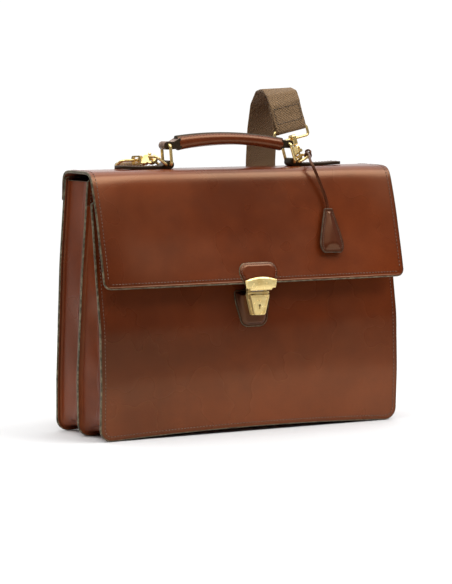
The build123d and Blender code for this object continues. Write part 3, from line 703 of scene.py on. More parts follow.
def soft_gusset(name, node, rear_profile, rear_gap, fore_profile, fore_gap, depth, wavy, ridge):
    """A gusset: flange, bellows and flange in section, run round the bag's sides and bottom.
    depth is how far its middle folds in, and ridge how far the fold lies from the rear panel."""
    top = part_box(node)[1].z
    line, inward = gusset_path(top, corner_radius - 4 * MM, 4 * MM)
    shares = np.concatenate([[0.0, 0.012], np.linspace(0.035, 0.965, 37), [0.988, 1.0]])
    rear_z = rear_profile.line[:, 1]
    fore_z = fore_profile.line[:, 1]
    rows = []
    for (x, z), (in_x, in_z) in zip(line, inward):
        height = max(z, 0.004)
        rear_y = np.interp(height, rear_z, rear_profile.line[:, 0]) + rear_gap
        fore_y = np.interp(height, fore_z, fore_profile.line[:, 0]) + fore_gap
        side = math.copysign(1, x)
        upright = float(smoothstep(0.012, 0.05, z))
        reach = depth * (0.25 + 0.75 * upright) * (1 - 0.35 * float(smoothstep(0.2, top, z)))
        fold_at = ridge + gusset_waves(z, side, wavy) * upright
        lift = float(arch_lift(np.array(x), np.array(z)))
        row = [(x - in_x * flange_reach, rear_y, z - in_z * flange_reach + lift),
               (x - in_x * flange_reach * 0.3, rear_y, z - in_z * flange_reach * 0.3 + lift)]
        corner = 9 * MM * float(np.exp(-((abs(x) - inset_x) ** 2 + (z - 0.004) ** 2) / 0.012 ** 2))
        for t in shares[2:-2]:
            tent = t / fold_at if t < fold_at else (1 - t) / (1 - fold_at)
            fold = reach * (tent ** 1.15) + corner * (4 * t * (1 - t)) ** 1.5
            fold += 0.6 * MM * upright * math.sin(z * 60 + 4 * t + side) * tent
            y = rear_y + (fore_y - rear_y) * t
            row.append((x + in_x * fold, y, z + in_z * fold + lift))
        row += [(x - in_x * flange_reach * 0.3, fore_y, z - in_z * flange_reach * 0.3 + lift),
                (x - in_x * flange_reach, fore_y, z - in_z * flange_reach + lift)]
        rows.append(row)
    faces = [soft_cognac, edge_paint, inner_leather]
    gusset = shell(name, np.array(rows), gusset_thickness, faces, (0, 0, -1))
    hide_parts(node)
    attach(gusset, "bag")


soft_gusset("rear_gusset_leather", "rear_gusset", back_profile, -panel_thickness - 0.1 * MM,
            divider_profile, divider_thickness + gusset_thickness, 4.5 * MM, 0.02, 0.62)
soft_gusset("front_gusset_leather", "front_gusset", divider_profile, -0.1 * MM,
            front_profile, panel_thickness + gusset_thickness, 6.5 * MM, 0.07, 0.52)

# ---- flap: one leather sheet over the top, in two pieces that meet under the handle ----

flap_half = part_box("flap_front")[1].x
flap_thickness = 3.2 * MM
band_low, band_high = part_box("flap_band")
hem_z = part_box("flap_front")[0].z
anchor_low, anchor_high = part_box("flap_anchor_strip")
rear_line = side_line("flap_anchor_strip", 0.1, anchor_low.z + hair, anchor_high.z - hair, 1, 12)
front_line = side_line("flap_front", 0.1, hem_z + hair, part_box("flap_front")[1].z - hair, -1, 40)
top_z = band_high.z
flap_points = rear_line + [(band_high.y, top_z), (0, top_z), (band_low.y, top_z)] + front_line[::-1]
flap_points[-1] = (flap_points[-1][0], hem_z)
flap_profile = Profile(flap_points, 18 * MM, 1)
flap_belly = 0.7 * MM
side_belly = 4.0 * MM
skive_depth = 2.0 * MM
skive_reach = 36 * MM
split_at = float(flap_profile.along[int(np.argmin(np.abs(flap_profile.line[:, 0])))])
belly_length = flap_profile.length - split_at - 0.02


def flap_place(a, b, height):
    """The flap's surface, with slow ripples that die out over the band."""
    y, z = flap_profile.at(b, height)
    down = smoothstep(0, 0.05, b - split_at - 0.03)
    hold = smoothstep(0, 0.04, flap_half - np.abs(a)) * smoothstep(0, 0.02, flap_profile.length - b)
    ripple = (0.6 * MM * np.sin(a * 15 + 1.0) * np.sin(b * 16)
              + 0.3 * MM * np.sin(a * 36 + 2) * np.cos(b * 21))
    deep = flap_belly + side_belly * smoothstep(0.125, flap_half, np.abs(a))
    belly = deep * np.sin(math.pi * np.clip((b - split_at - 0.02) / belly_length, 0, 1))
    return np.stack([a, y - down * hold * ripple - belly, z], -1)


flap_strip = Strip(flap_half, flap_profile.length, 2 * MM, 8 * MM)


def flap_piece(name, low, high):
    """A length of the flap's sheet, from one distance along its side line to another."""
    b = flap_strip.rows(4 * MM, EDGE_INSETS)
    b = np.concatenate([[low], b[(b > low + 0.5 * MM) & (b < high - 0.5 * MM)], [high]])
    shares = across_shares(flap_half, 90)
    half = flap_strip.half_at(b)
    a = half[:, None] * shares[None, :]
    b = np.repeat(b[:, None], len(shares), 1)
    distance = np.minimum(half[:, None] - np.abs(a), np.minimum(b, flap_profile.length - b))
    # The rim amount: burnished edge, with painted shade along the stitch line.
    rim = burnish_and_seam_shade(distance, 4.6 * MM)
    skived = skive_depth * (1 - smoothstep(0, skive_reach, b))
    grid = flap_place(a, b, crease(distance) - skived)
    toward = (0, 1, 0.2) if low == 0 else (0, -1, 0.2)
    return shell(name, grid, flap_thickness - skived, leather_faces, toward, 0.4, rim)


flap_rear = flap_piece("flap_rear_leather", 0, split_at)
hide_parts("flap_anchor_strip", "flap_band")
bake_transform(flap_rear)
flap_fore = flap_piece("flap_front_leather", split_at, flap_profile.length)
# Painted shade: the flap's colour darkened on its left side, below the top band.
paint_shade(flap_fore, lambda x, z: 0.46 * (1 - smoothstep(-0.19, -0.05, x))
           * (1 - smoothstep(0.25, 0.29, z)))
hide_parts("flap_front")
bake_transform(flap_fore)


def flap_stitches(name, low, high, sides):
    """The thread line along the flap's edges between two distances along it."""
    flat = resample(flap_strip.inset(4.6 * MM).border(3 * MM, sides), 1.5 * MM)
    flat = flat[(flat[:, 1] >= low) & (flat[:, 1] <= high)]
    skived = skive_depth * (1 - smoothstep(0, skive_reach, flat[:, 1]))
    path = flap_place(flat[:, 0], flat[:, 1], -skived)
    above = flap_place(flat[:, 0], flat[:, 1], MM - skived)
    sewn = stitch_row(name, path, unit(above - path), thread)
    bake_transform(sewn)


for side in ("left", "right"):
    flap_stitches("flap_rear_stitching_" + side, 0.006, split_at - 0.002, side)
    flap_stitches("flap_front_stitching_" + side, split_at + 0.002, flap_profile.length - 0.009, side)
flap_stitches("flap_hem_stitching", flap_profile.length - 0.0065, 1, "end")

# ---- lock: leather pad, flap tab and brass ----


def dress(node, material, bevel=0.0):
    """Gives a CAD node that keeps its shape its finished material and softly broken edges."""
    mesh = nodes[node].data
    mesh.materials.clear()
    mesh.materials.append(material)
    if bevel:
        rounding = nodes[node].modifiers.new("broken_edges", "BEVEL")
        rounding.width = bevel
        rounding.segments = 2
        rounding.limit_method = "ANGLE"
        rounding.angle_limit = math.radians(50)
        rounding.harden_normals = False


for node in ("lock_housing", "lock_plate", "push_bar"):
    dress(node, plate_brass, 0.3 * MM)
for node in ("catch_staple", "strap_slider"):
    dress(node, brass)
for part in ("ring", "dee", "hook", "gate", "eye", "loop"):
    dress(part + "_left", brass)
    dress(part + "_right", brass)
for node in ("lock_back_plate", "lock_rivets", "lock_springs", "latch_bolt", "lock_cam", "catch_rivets",
             "catch_back_plate", "key"):
    dress(node, steel)
dress("band_stiffener", board)
dress("handle_core", rope)


def rounded_rows(length, radius, spacing):
    """Row distances along a piece, closer together near both ends."""
    near = np.concatenate([EDGE_INSETS, radius * (1 - np.cos(np.linspace(0, math.pi / 2, 9)))])
    body = np.linspace(0, length, int(length / spacing) + 2)
    found = np.unique(np.round(np.concatenate([near, length - near, body]) / hair) * hair)
    return found[(found >= 0) & (found <= length)]


def shaped_piece(name, half_at, length, place, thickness, materials, toward, body, count=30,
                 radius=8 * MM, spacing=2 * MM, bulge=0.45):
    """A small sheet whose half width varies along it; place takes (a, b, distance from its edge)."""
    b = rounded_rows(length, radius, spacing)
    b[-1] = length
    half = np.maximum(half_at(b), 0.3 * MM)
    near = 1 - EDGE_INSETS / half.max()
    inner = np.linspace(-near[-1], near[-1], count)
    shares = np.concatenate([-near[:-1], inner, near[:-1][::-1]])
    a = half[:, None] * shares[None, :]
    b = np.repeat(b[:, None], len(shares), 1)
    dense_b = np.linspace(0, length, 160)
    dense_half = half_at(dense_b)
    border = np.concatenate([np.stack([dense_half, dense_b], 1), np.stack([-dense_half, dense_b], 1),
                             np.stack([np.linspace(-dense_half[0], dense_half[0], 40), np.zeros(40)], 1),
                             np.stack([np.linspace(-dense_half[-1], dense_half[-1], 40),
                                       np.full(40, length)], 1)])
    flat = np.stack([a, b], -1)[:, :, None, :] - border[None, None, :, :]
    distance = np.sqrt((flat ** 2).sum(-1)).min(-1)
    rim = 1 - smoothstep(0.3 * MM, 4 * MM, distance)
    piece = shell(name, place(a, b, distance), thickness, materials, toward, bulge, rim)
    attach(piece, body)
    return piece


def inset_line(half_at, length, inset):
    """Points a fixed distance inside a shaped piece's sides and far end, for its stitches."""
    b = np.linspace(0, length, 240)
    line = resample(np.concatenate([np.stack([half_at(b), b], 1), [[0, length]]]), 0.5 * MM)
    tangent = unit(np.gradient(line, axis=0))
    inner = line + np.stack([-tangent[:, 1], tangent[:, 0]], 1) * inset
    inner = inner[inner[:, 0] >= 0]
    return soften(np.concatenate([inner * [-1, 1], inner[::-1]]), 1.5 * MM)


tab_low, tab_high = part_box("flap_lock_tab")
tab_length = tab_high.z - tab_low.z
tab_half = tab_high.x
tab_radius = 10 * MM
tab_seam = 2.0 * MM


def tab_half_at(b):
    """The lock tab: a little narrower at the hem, rounded at its top corners."""
    b = np.asarray(b, float)
    half = tab_half - 3.4 * MM * (1 - smoothstep(0, 0.5, b / tab_length))
    inside = np.clip(tab_radius - (tab_length - b), 0, tab_radius)
    return half - (tab_radius - np.sqrt(tab_radius ** 2 - inside ** 2))


def lock_tab_place(a, b, distance):
    """On the flap just over its hem, padded up to 2.8 mm from its sewn edge."""
    height = (0.9 + 1.9 * smoothstep(0, 3.4 * MM, distance)) * MM + crease(distance, 0.5 * MM, 3.0 * MM)
    return flap_place(a, flap_profile.length - b, height)


lock_tab = shaped_piece("lock_tab_leather", tab_half_at, tab_length, lock_tab_place, 1.8 * MM,
                        leather_faces, (0, -1, 0), "flap_front")
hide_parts("flap_lock_tab")
tab_flat = inset_line(tab_half_at, tab_length, tab_seam)
tab_path = lock_tab_place(tab_flat[:, 0], tab_flat[:, 1], np.full(len(tab_flat), tab_seam))
tab_stitches = stitch_row("lock_tab_stitching", tab_path, np.tile([0, -1.0, 0], (len(tab_path), 1)),
                          thread, 2.6 * MM, 2.0 * MM, 0.36 * MM, 0.35)
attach(tab_stitches, "flap_front")

pad_low, pad_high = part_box("lock_base")
pad_length = pad_high.z - pad_low.z
pad_half = pad_high.x


def pad_half_at(b):
    """The lock pad: widest near its top, tapering to a broad rounded bottom."""
    b = np.asarray(b, float)
    share = np.clip(b / pad_length, 0, 1)
    half = pad_half * (0.74 + 0.26 * smoothstep(0, 0.85, share))
    low = np.clip(8 * MM - b, 0, 8 * MM)
    high = np.clip(3 * MM - (pad_length - b), 0, 3 * MM)
    half = half - 1.1 * (8 * MM - np.sqrt((8 * MM) ** 2 - low ** 2))
    return half - (3 * MM - np.sqrt((3 * MM) ** 2 - high ** 2))


def pad_place(a, b, distance):
    """A domed leather cushion under the lock, with a flat sewn margin on the front panel."""
    z = pad_low.z + b
    panel_y = np.interp(z, front_profile.line[:, 1], front_profile.line[:, 0])
    margin = panel_y - 1.6 * MM
    crown = pad_low.y - 0.2 * MM
    rise = smoothstep(1.4 * MM, 5.0 * MM, distance)
    y = margin + (np.minimum(crown, margin) - margin) * rise + crease(distance, -0.5 * MM, 1.5 * MM)
    return np.stack([a, y, z], -1)


pad = shaped_piece("lock_pad_leather", pad_half_at, pad_length, pad_place, 1.6 * MM,
                   [dark_cognac, edge_paint, inner_leather], (0, -1, 0), "bag")
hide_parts("lock_base")

catch_low, catch_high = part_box("catch_plate")
catch_height = catch_high.z - catch_low.z
catch_half = catch_high.x
catch_arch = 3.8 * MM


def catch_half_at(b):
    """The catch plate's half width: notched at its lower corners, then widening upwards."""
    share = np.asarray(b, float) / (catch_height - catch_arch)
    narrow = catch_half * (0.66 + 0.05 * np.clip(share / 0.16, 0, 1))
    wide = catch_half * (0.925 + 0.075 * np.clip((share - 0.24) / 0.76, 0, 1))
    return np.where(share < 0.2, narrow, wide)


def catch_place(a, b, distance):
    """Slightly domed, with bevelled edges and an arched top."""
    share = np.clip(b / (catch_height - catch_arch), 0, 1)
    z = catch_low.z + b + catch_arch * (1 - (a / catch_half) ** 2) * share ** 2
    dome = 0.9 * MM * (1 - (a / catch_half) ** 2) * (1 - (2 * share - 1) ** 2)
    bevel = 0.8 * MM * smoothstep(0, 1.0 * MM, distance)
    return np.stack([a, catch_low.y + 1.0 * MM - dome - bevel, z], -1)


catch = shaped_piece("catch_plate_brass", catch_half_at, catch_height - catch_arch, catch_place,
                     1.2 * MM, [plate_brass] * 3, (0, -1, 0), "flap_front",
                     radius=2 * MM, spacing=0.8 * MM)
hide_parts("catch_plate")

# ---- handle, its ends and the strap tabs ----


def inner_ring(outline, distance):
    """A closed outline moved inwards along its corner normals."""
    before = unit(outline - np.roll(outline, 1, 0))
    after = unit(np.roll(outline, -1, 0) - outline)
    tangent = unit(before + after)
    return outline + np.stack([-tangent[:, 1], tangent[:, 0]], 1) * distance


def slab(name, outline, near_y, far_y, side_material, end_material, rounding):
    """A strip seen edge-on: an XZ outline carried from near_y to far_y, with rounded edges."""
    outline = np.asarray(outline, float)
    following = np.roll(outline, -1, 0)
    if np.sum(outline[:, 0] * following[:, 1] - following[:, 0] * outline[:, 1]) < 0:
        outline = outline[::-1]
    count = len(outline)
    rings = []
    turn = np.linspace(0, math.pi / 2, 4)
    for angles, start_y, heading in ((turn, near_y, 1), (turn[::-1], far_y, -1)):
        for angle in angles:
            ring = inner_ring(outline, rounding * (1 - math.sin(angle)))
            rings.append(np.insert(ring, 1, start_y + heading * rounding * (1 - math.cos(angle)), 1))
    kinds = [0 if k == 3 else 1 for k in range(len(rings) - 1) for _ in range(count)] + [1, 1]
    return new_object(name, np.concatenate(rings), tube_faces(len(rings), count),
                      [side_material, end_material], kinds)


def arc_points(x, z, radius, low, high, count):
    turn = np.radians(np.linspace(low, high, count))
    return np.stack([x + radius * np.cos(turn), z + radius * np.sin(turn)], 1)


def tab_strip(side):
    """A strap tab seen edge-on: a flat tongue whose inner end rolls over the bars."""
    low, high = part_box("tab_left" if side < 0 else "tab_right")
    name = "tab_left" if side < 0 else "tab_right"
    inner = high.x if side < 0 else low.x
    outer = low.x if side < 0 else high.x
    roll = (high.z - low.z) / 2
    roll_x = inner + side * roll
    thickness = 3.5 * MM
    base = low.z + 0.1 * MM
    length = abs(outer - roll_x)
    share = np.linspace(0, 1, 24)
    lift = 1.1 * MM * smoothstep(0.55, 1, share)
    under = np.stack([roll_x + side * length * share, base + lift], 1)
    over = np.stack([roll_x + side * length * share, base + thickness + lift], 1)[::-1][:-4]
    if side < 0:
        roll_arc = arc_points(roll_x, low.z + roll, roll, 120, -90, 24)
    else:
        roll_arc = arc_points(roll_x, low.z + roll, roll, 60, 270, 24)
    outline = np.concatenate([under[1:], over, roll_arc])
    tab = slab(name + "_leather", outline, low.y, high.y, dark_leather, dark_leather, 0.7 * MM)
    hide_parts(name)
    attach(tab, "flap_top")
    for row_y in (low.y + 2.6 * MM, high.y - 2.6 * MM):
        t = np.linspace(0.16, 0.95, 60)
        x = roll_x + side * length * t
        z = base + thickness + 1.1 * MM * smoothstep(0.55, 1, t)
        path = np.stack([x, np.full(60, row_y), z], 1)
        sewn = stitch_row(f"{name}_stitching_{'front' if row_y < -3 * MM else 'rear'}", path,
                          np.tile([0, 0, 1.0], (60, 1)), thread)
        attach(sewn, "flap_top")


tab_strip(-1)
tab_strip(1)

grip_low, grip_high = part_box("handle_cover")
grip_middle = (grip_low.x + grip_high.x) / 2
grip_y = (grip_low.y + grip_high.y) / 2
grip_half = (grip_high.x - grip_low.x) / 2 - 2.5 * MM
grip_width = 8.4 * MM
grip_thin = 7.4 * MM


def grip_line(share):
    """The grip's centre, upward direction and half height at a share from -1 to 1 along it."""
    rise = grip_high.z - grip_thin - (6.2 * share ** 2 + 1.7 * share) * MM
    slope = -(12.4 * share + 1.7) * MM / grip_half
    up = unit(np.array([-slope, 0, 1.0]))
    centre = np.array([grip_middle + grip_half * share, grip_y, rise])
    return centre, up, grip_thin + (0.9 * share ** 2 - 0.5 * share) * MM


def build_grip():
    """The handle's sewn cover: an arched oval tube, cut square, with its painted seam along the top."""
    stations = np.concatenate([[-1, -0.9975, -0.993, -0.985], np.linspace(-0.96, 0.96, 49),
                               [0.985, 0.993, 0.9975, 1]])
    sides = 56
    turn = np.arange(sides) * 2 * math.pi / sides
    degrees = np.degrees(turn)
    band = smoothstep(66, 70, degrees) * (1 - smoothstep(112, 116, degrees))
    groove = np.exp(-((degrees - 119) / 2.5) ** 2) + np.exp(-((degrees - 63) / 2.5) ** 2)
    points = []
    for share in stations:
        centre, up, tall = grip_line(share)
        from_end = (1 - abs(share)) * grip_half
        full = 1 - 0.10 * (1 - min(1, from_end / (1.2 * MM))) ** 2
        wide = grip_width * (1 - 0.10 * share ** 2)
        swell = 1 + (1.0 * MM * band - 0.5 * MM * groove) / grip_thin
        flat = np.abs(np.cos(turn)) ** 0.90 * np.sign(np.cos(turn))
        high = np.abs(np.sin(turn)) ** 0.86 * np.sign(np.sin(turn))
        points.append(centre + np.outer(flat * swell * wide * full, [0, 1, 0])
                      + np.outer(high * swell * (tall - 0.8 * MM) * full, up))
    points = np.concatenate(points)
    on_seam = [67 < angle + 180 / sides < 115 for angle in degrees]
    kinds = []
    for k in range(len(stations) - 1):
        at_end = k < 3 or k > len(stations) - 5
        kinds += [1 if at_end or dark else 0 for dark in on_seam]
    kinds += [1, 1]
    grip = new_object("handle_grip_leather", points, tube_faces(len(stations), sides),
                      [cognac, dark_leather], kinds)
    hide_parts("handle_cover")
    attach(grip, "handle")
    for label, seam_angle in (("front", 128), ("rear", 54)):
        angle = math.radians(seam_angle)
        path = []
        normals = []
        for share in np.linspace(-0.96, 0.96, 80):
            centre, up, tall = grip_line(share)
            out = math.cos(angle) * np.array([0, 1, 0]) + math.sin(angle) * up
            wide = grip_width * (1 - 0.10 * share ** 2)
            path.append(centre + math.cos(angle) * 1.03 * np.array([0, 1, 0]) * wide
                        + math.sin(angle) * 1.03 * up * (tall - 0.8 * MM))
            normals.append(out)
        sewn = stitch_row("handle_grip_stitching_" + label, np.array(path), np.array(normals), thread)
        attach(sewn, "handle")


build_grip()


def handle_tongue(side):
    """A tapered leather tongue from the grip's end, rolled round a ring's top bar."""
    name = "handle_end_left" if side < 0 else "handle_end_right"
    low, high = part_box(name)
    ring_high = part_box("ring_left" if side < 0 else "ring_right")[1]
    centre, up, tall = grip_line(side)
    top_x = low.x + 4.6 * MM if side < 0 else high.x - 4.6 * MM
    top_z = ring_high.z - 1.75 * MM
    roll = 4.7 * MM
    roll_x = top_x + side * 1.2 * MM
    inside = centre - side * 3 * MM * np.array([up[2], 0, -up[0]])
    upper = inside + up * (tall - 2.2 * MM)
    lower = inside - up * (tall - 2.6 * MM)
    span = centre[0] - roll_x
    waist_top = (centre[0] - span * 0.45, top_z + 3.9 * MM)
    waist_low = (centre[0] - span * 0.40, top_z - 4.6 * MM)
    arc = arc_points(roll_x, top_z - 0.4 * MM, roll, 90, 285 if side < 0 else -105, 22)
    root_top = (upper[0], upper[2])
    root_low = (lower[0], lower[2])
    closed = np.concatenate([[root_top, waist_top], arc, [waist_low, root_low, root_top]])
    smooth = soften(closed, 1.3 * MM)[::2]
    tongue = slab(name + "_leather", smooth[:-1], low.y, high.y, pale_edge, dark_leather, 0.8 * MM)
    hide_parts(name)
    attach(tongue, "handle")


handle_tongue(-1)
handle_tongue(1)

# ---- shoulder strap ----

strap_half = 20 * MM
strap_thickness = 2.2 * MM


def webbing_band(name, centres, widths, half=strap_half, thickness=strap_thickness):
    """Webbing along a line, with its width direction given at each point."""
    centres = np.asarray(centres, float)
    tangent = unit(np.gradient(centres, axis=0))
    widths = np.asarray(widths, float)
    widths = unit(widths - tangent * np.sum(widths * tangent, 1)[:, None])
    normals = np.cross(tangent, widths)
    lines = np.concatenate([[-1, -0.99, -0.965], np.linspace(-0.93, 0.93, 21), [0.965, 0.99, 1]])
    full = thickness / 2 * np.array([0.35, 0.7, 0.95] + [1] * 21 + [0.95, 0.7, 0.35])
    across = np.concatenate([lines, lines[::-1]]) * half
    heights = np.concatenate([full, -full[::-1]])
    points = (centres[:, None, :] + widths[:, None, :] * across[None, :, None]
              + normals[:, None, :] * heights[None, :, None])
    rows, sides = points.shape[:2]
    faces = []
    for k in range(rows - 1):
        for m in range(sides):
            n = (m + 1) % sides
            faces.append((k * sides + m, (k + 1) * sides + m, (k + 1) * sides + n, k * sides + n))
    faces.append(tuple(range(sides)))
    faces.append(tuple((rows - 1) * sides + m for m in range(sides))[::-1])
    band = new_object(name, points, faces, [webbing])
    point_values(band, "along", np.repeat(along_line(centres)[:, None], sides, 1))
    point_values(band, "across", np.repeat(across[None, :], rows, 0))
    return band


right_bar = np.array([89.55, 12.79, 338.43]) * MM
right_width = unit(np.array([0.978, 0, 0.208]))
right_up = unit(np.array([-0.198, 0.105, 0.975]))
left_bar = np.array([-108.4, 35.9, 299.0]) * MM
left_width = unit(np.array([-0.966, -0.259, 0]))
left_down = unit(np.array([0.02, 0.167, -0.985]))


def fold_points(bar, away, front, short_side):
    """A webbing end folded round a bar: from the short layer's end, round, to the long layer."""
    behind = front * short_side
    points = [bar + away * 31 * MM + behind * 1.3 * MM, bar + away * 16 * MM + behind * 1.5 * MM,
              bar + away * 6 * MM + behind * 2.8 * MM]
    for angle in np.radians(np.linspace(0, 180, 9)):
        points.append(bar + 3.0 * MM * (behind * math.cos(angle) - away * math.sin(angle)))
    points += [bar + away * 6 * MM - behind * 2.8 * MM, bar + away * 16 * MM - behind * 1.5 * MM,
               bar + away * 30 * MM - behind * 1.3 * MM]
    return points


right_front = unit(np.cross(right_width, right_up))
left_front = unit(np.cross(-left_down, left_width))
right_fold_line = fold_points(right_bar, right_up, right_front, -1)
left_fold_line = fold_points(left_bar, left_down, left_front, -1)[::-1]
hanging = np.array([(83.5, 21.5, 379), (83.5, 33, 384.3), (83.5, 47, 381), (83.5, 59, 366),
                    (83.5, 66, 338), (83.5, 69.5, 300), (83.5, 70, 240), (83.5, 70, 180),
                    (83.5, 75, 130), (83.5, 86, 80),
                    (83.5, 93, 45), (79, 95, 19), (66, 96, 4.2), (48, 96, 1.5), (0, 97.5, 1.3),
                    (-60, 96.5, 1.3), (-76, 96, 1.9), (-93, 95, 9), (-103.5, 94, 30), (-105.8, 90, 62),
                    (-105.8, 78, 105), (-105.8, 67, 150), (-106.2, 57, 195), (-107.2, 47, 240)]) * MM
strap_line = soften(np.concatenate([right_fold_line, hanging, left_fold_line]), 2.2 * MM)[::3]
strap_line[:, 2] = np.maximum(strap_line[:, 2], strap_thickness / 2 + 0.1 * MM)
strap_along = along_line(strap_line)
front_fold_end = 75 * MM
back_fold_start = strap_along[-1] - 75 * MM
strap_widths = []
for point, distance in zip(strap_line, strap_along):
    if point[0] > 0:
        turned = 1 - smoothstep(0.05, 0.165, point[2]) if distance > 150 * MM else 0.0
        plain = np.array([1.0, 0, 0])
        near_bar = 1 - smoothstep(front_fold_end, front_fold_end + 0.03, distance)
        facing = plain * (1 - near_bar) + right_width * near_bar
    else:
        turned = 1 - smoothstep(0.05, 0.15, point[2])
        plain = np.array([-1.0, 0, 0])
        near_bar = smoothstep(back_fold_start - 0.05, back_fold_start, distance)
        facing = plain * (1 - near_bar) + left_width * near_bar
    angle = turned * math.pi / 2
    strap_widths.append(facing * math.cos(angle) + np.array([0, 1.0, 0]) * math.sin(angle))
strap = webbing_band("strap_webbing_band", strap_line, strap_widths)
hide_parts("strap_webbing")
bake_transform(strap)


def fold_stitches(name, bar, away, width, front):
    """Two rows across and two along, through both layers at a folded end."""
    for label, side in (("front", 1), ("back", -1)):
        out = front * side
        rows = [(-17, 8.5, 17, 8.5), (-17, 26, 17, 26), (-17, 8.5, -17, 26), (17, 8.5, 17, 26)]
        for k, (a0, b0, a1, b1) in enumerate(rows):
            share = np.linspace(0, 1, 30)[:, None]
            low_height, high_height = (np.interp([b0, b1], [6, 16, 30], [2.8, 1.5, 1.3]) + 1.25) * MM
            first = bar + width * a0 * MM + away * b0 * MM + out * low_height
            second = bar + width * a1 * MM + away * b1 * MM + out * high_height
            path = first * (1 - share) + second * share
            sewn = stitch_row(f"{name}_{label}_{k}", path, np.tile(out, (30, 1)), strap_thread, 3.0 * MM,
                              2.3 * MM, 0.4 * MM)
            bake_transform(sewn)


fold_stitches("strap_stitching_right", right_bar, right_up, right_width, right_front)
fold_stitches("strap_stitching_left", left_bar, left_down, left_width, left_front)

slider_low, slider_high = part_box("strap_slider")
slider_x = (slider_low.x + slider_high.x) / 2
slider_z = (slider_low.z + slider_high.z) / 2
weave_line = np.array([(71.35, 17), (71.5, 11), (73.2, 7), (75.7, 3),
                       (75.7, -3), (73.2, -7), (71.5, -11), (71.35, -17)]) * MM
weave_line = soften(weave_line, 1.5 * MM)[::3]
weave_points = np.insert(weave_line + [0, slider_z], 0, slider_x, 1)
weave = webbing_band("slider_webbing", weave_points, np.tile([1.0, 0, 0], (len(weave_points), 1)),
                     19.6 * MM, 1.4 * MM)
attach(weave, "slider")

# ---- key bell and its lace ----

bell_lean = math.radians(-2)
bell_up = np.array([-math.sin(bell_lean), 0.263 * math.cos(bell_lean), 0.965 * math.cos(bell_lean)])
bell_up = unit(bell_up)
bell_out = unit(np.array([0, -0.965, 0.263]))
bell_side = unit(np.cross(bell_up, bell_out))
bell_out = unit(np.cross(bell_side, bell_up))
bell_top = np.array([100.8, -52.8, 248]) * MM
bell_length = 50 * MM
bell_seam = 2.1 * MM


def bell_half_at(b):
    """The bell's half width below its top: a narrow neck that widens to a round-cornered foot."""
    below = np.asarray(b, float) / MM
    half = np.interp(below, [0, 4, 12, 26, 40, 50], [5.2, 5.6, 8.0, 11.8, 14.8, 14.2])
    low = np.clip(below - 42, 0, 8)
    half = half - 5.5 * (1 - np.sqrt(np.clip(1 - (low / 8.3) ** 2, 0, 1)))
    high = np.clip(2.5 - below, 0, 2.5)
    return (half - 0.8 * (1 - np.sqrt(1 - (high / 2.6) ** 2))) * MM


def bell_place(facing):
    """Half of the bell: a sewn margin, then a dome that swells over the key."""

    def place(a, b, distance):
        flatter = 1 - 0.45 * smoothstep(0.6, 1.0, 1 - b / bell_length)
        dome = smoothstep(1.6 * MM, 11 * MM, distance) * flatter
        rise = 3.2 if facing == 1 else 1.3
        height = (1.5 + rise * dome) * MM + crease(distance, 0.35 * MM, 3.0 * MM)
        return (bell_top + np.multiply.outer(a, bell_side) - np.multiply.outer(b, bell_up)
                + np.multiply.outer(height * facing, bell_out))

    return place


for label, facing in (("front", 1), ("back", -1)):
    half_bell = shaped_piece("key_bell_" + label, bell_half_at, bell_length, bell_place(facing),
                             1.5 * MM, [dark_cognac, bell_edge, inner_leather],
                             tuple(bell_out * facing), "clochette", 24, 3 * MM,
                             1.6 * MM)
    if facing == 1:
        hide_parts("clochette_cover")
    bell_line = np.linspace(3 * MM, bell_length - 3.2 * MM, 100)
    for side in (-1, 1):
        a = side * (bell_half_at(bell_line) - bell_seam)
        path = bell_place(facing)(a, bell_line, np.full(100, bell_seam))
        sewn = stitch_row(f"bell_stitching_{label}_{'left' if side < 0 else 'right'}", path,
                          np.tile(bell_out * facing, (100, 1)), thread, 2.6 * MM, 1.9 * MM, 0.33 * MM)
        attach(sewn, "clochette")

lace_points = [(100.5, -8, 312), (95, -22, 309.5), (86.5, -35.5, 304), (87.5, -43.5, 295),
               (98.5, -47.8, 266.3), (101, -51.1, 254.3), (100.5, -55.2, 239.3)]
lace_curve = bpy.data.curves.new("lace_route", "CURVE")
lace_curve.dimensions = "3D"
lace_spline = lace_curve.splines.new("NURBS")
lace_spline.points.add(len(lace_points) - 1)
for point, place in zip(lace_spline.points, lace_points):
    point.co = (*(value * MM for value in place), 1)
lace_spline.order_u = 3
lace_spline.use_endpoint_u = True
lace_spline.resolution_u = 16
lace_holder = bpy.data.objects.new("lace_route", lace_curve)
scene.collection.objects.link(lace_holder)
bpy.context.view_layer.update()
lace_mesh = bpy.data.meshes.new_from_object(lace_holder)
lace_path = np.array([vertex.co[:] for vertex in lace_mesh.vertices])
bpy.data.meshes.remove(lace_mesh)
bpy.data.objects.remove(lace_holder)
lace_tangent = unit(np.gradient(lace_path, axis=0))
lace_side = unit(np.cross(lace_tangent, np.array([0.25, -0.9, 0.3])))


def lace_strands():
    """Two round leather thongs lying side by side, as one piece."""
    sides = 10
    angles = np.arange(sides) * 2 * math.pi / sides
    up = np.cross(lace_side, lace_tangent)
    ring = (lace_side[:, None, :] * np.cos(angles)[None, :, None]
            + up[:, None, :] * np.sin(angles)[None, :, None])
    spread = np.interp(np.linspace(0, 1, len(lace_path)), [0, 0.12, 0.8, 1], [0.85, 1.1, 1.1, 0.8]) * MM
    points = []
    faces = []
    for strand, side in enumerate((-1, 1)):
        centre = lace_path + lace_side * (side * spread)[:, None]
        points.append((centre[:, None, :] + ring * 1.0 * MM).reshape(-1, 3))
        faces += tube_faces(len(lace_path), sides, strand * len(lace_path) * sides)
    return new_object("key_lace_strands", np.concatenate(points), faces, [dark_cognac])


lace = lace_strands()
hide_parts("key_lace")
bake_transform(lace)
tuple(value * MM for value in lace_points[0])


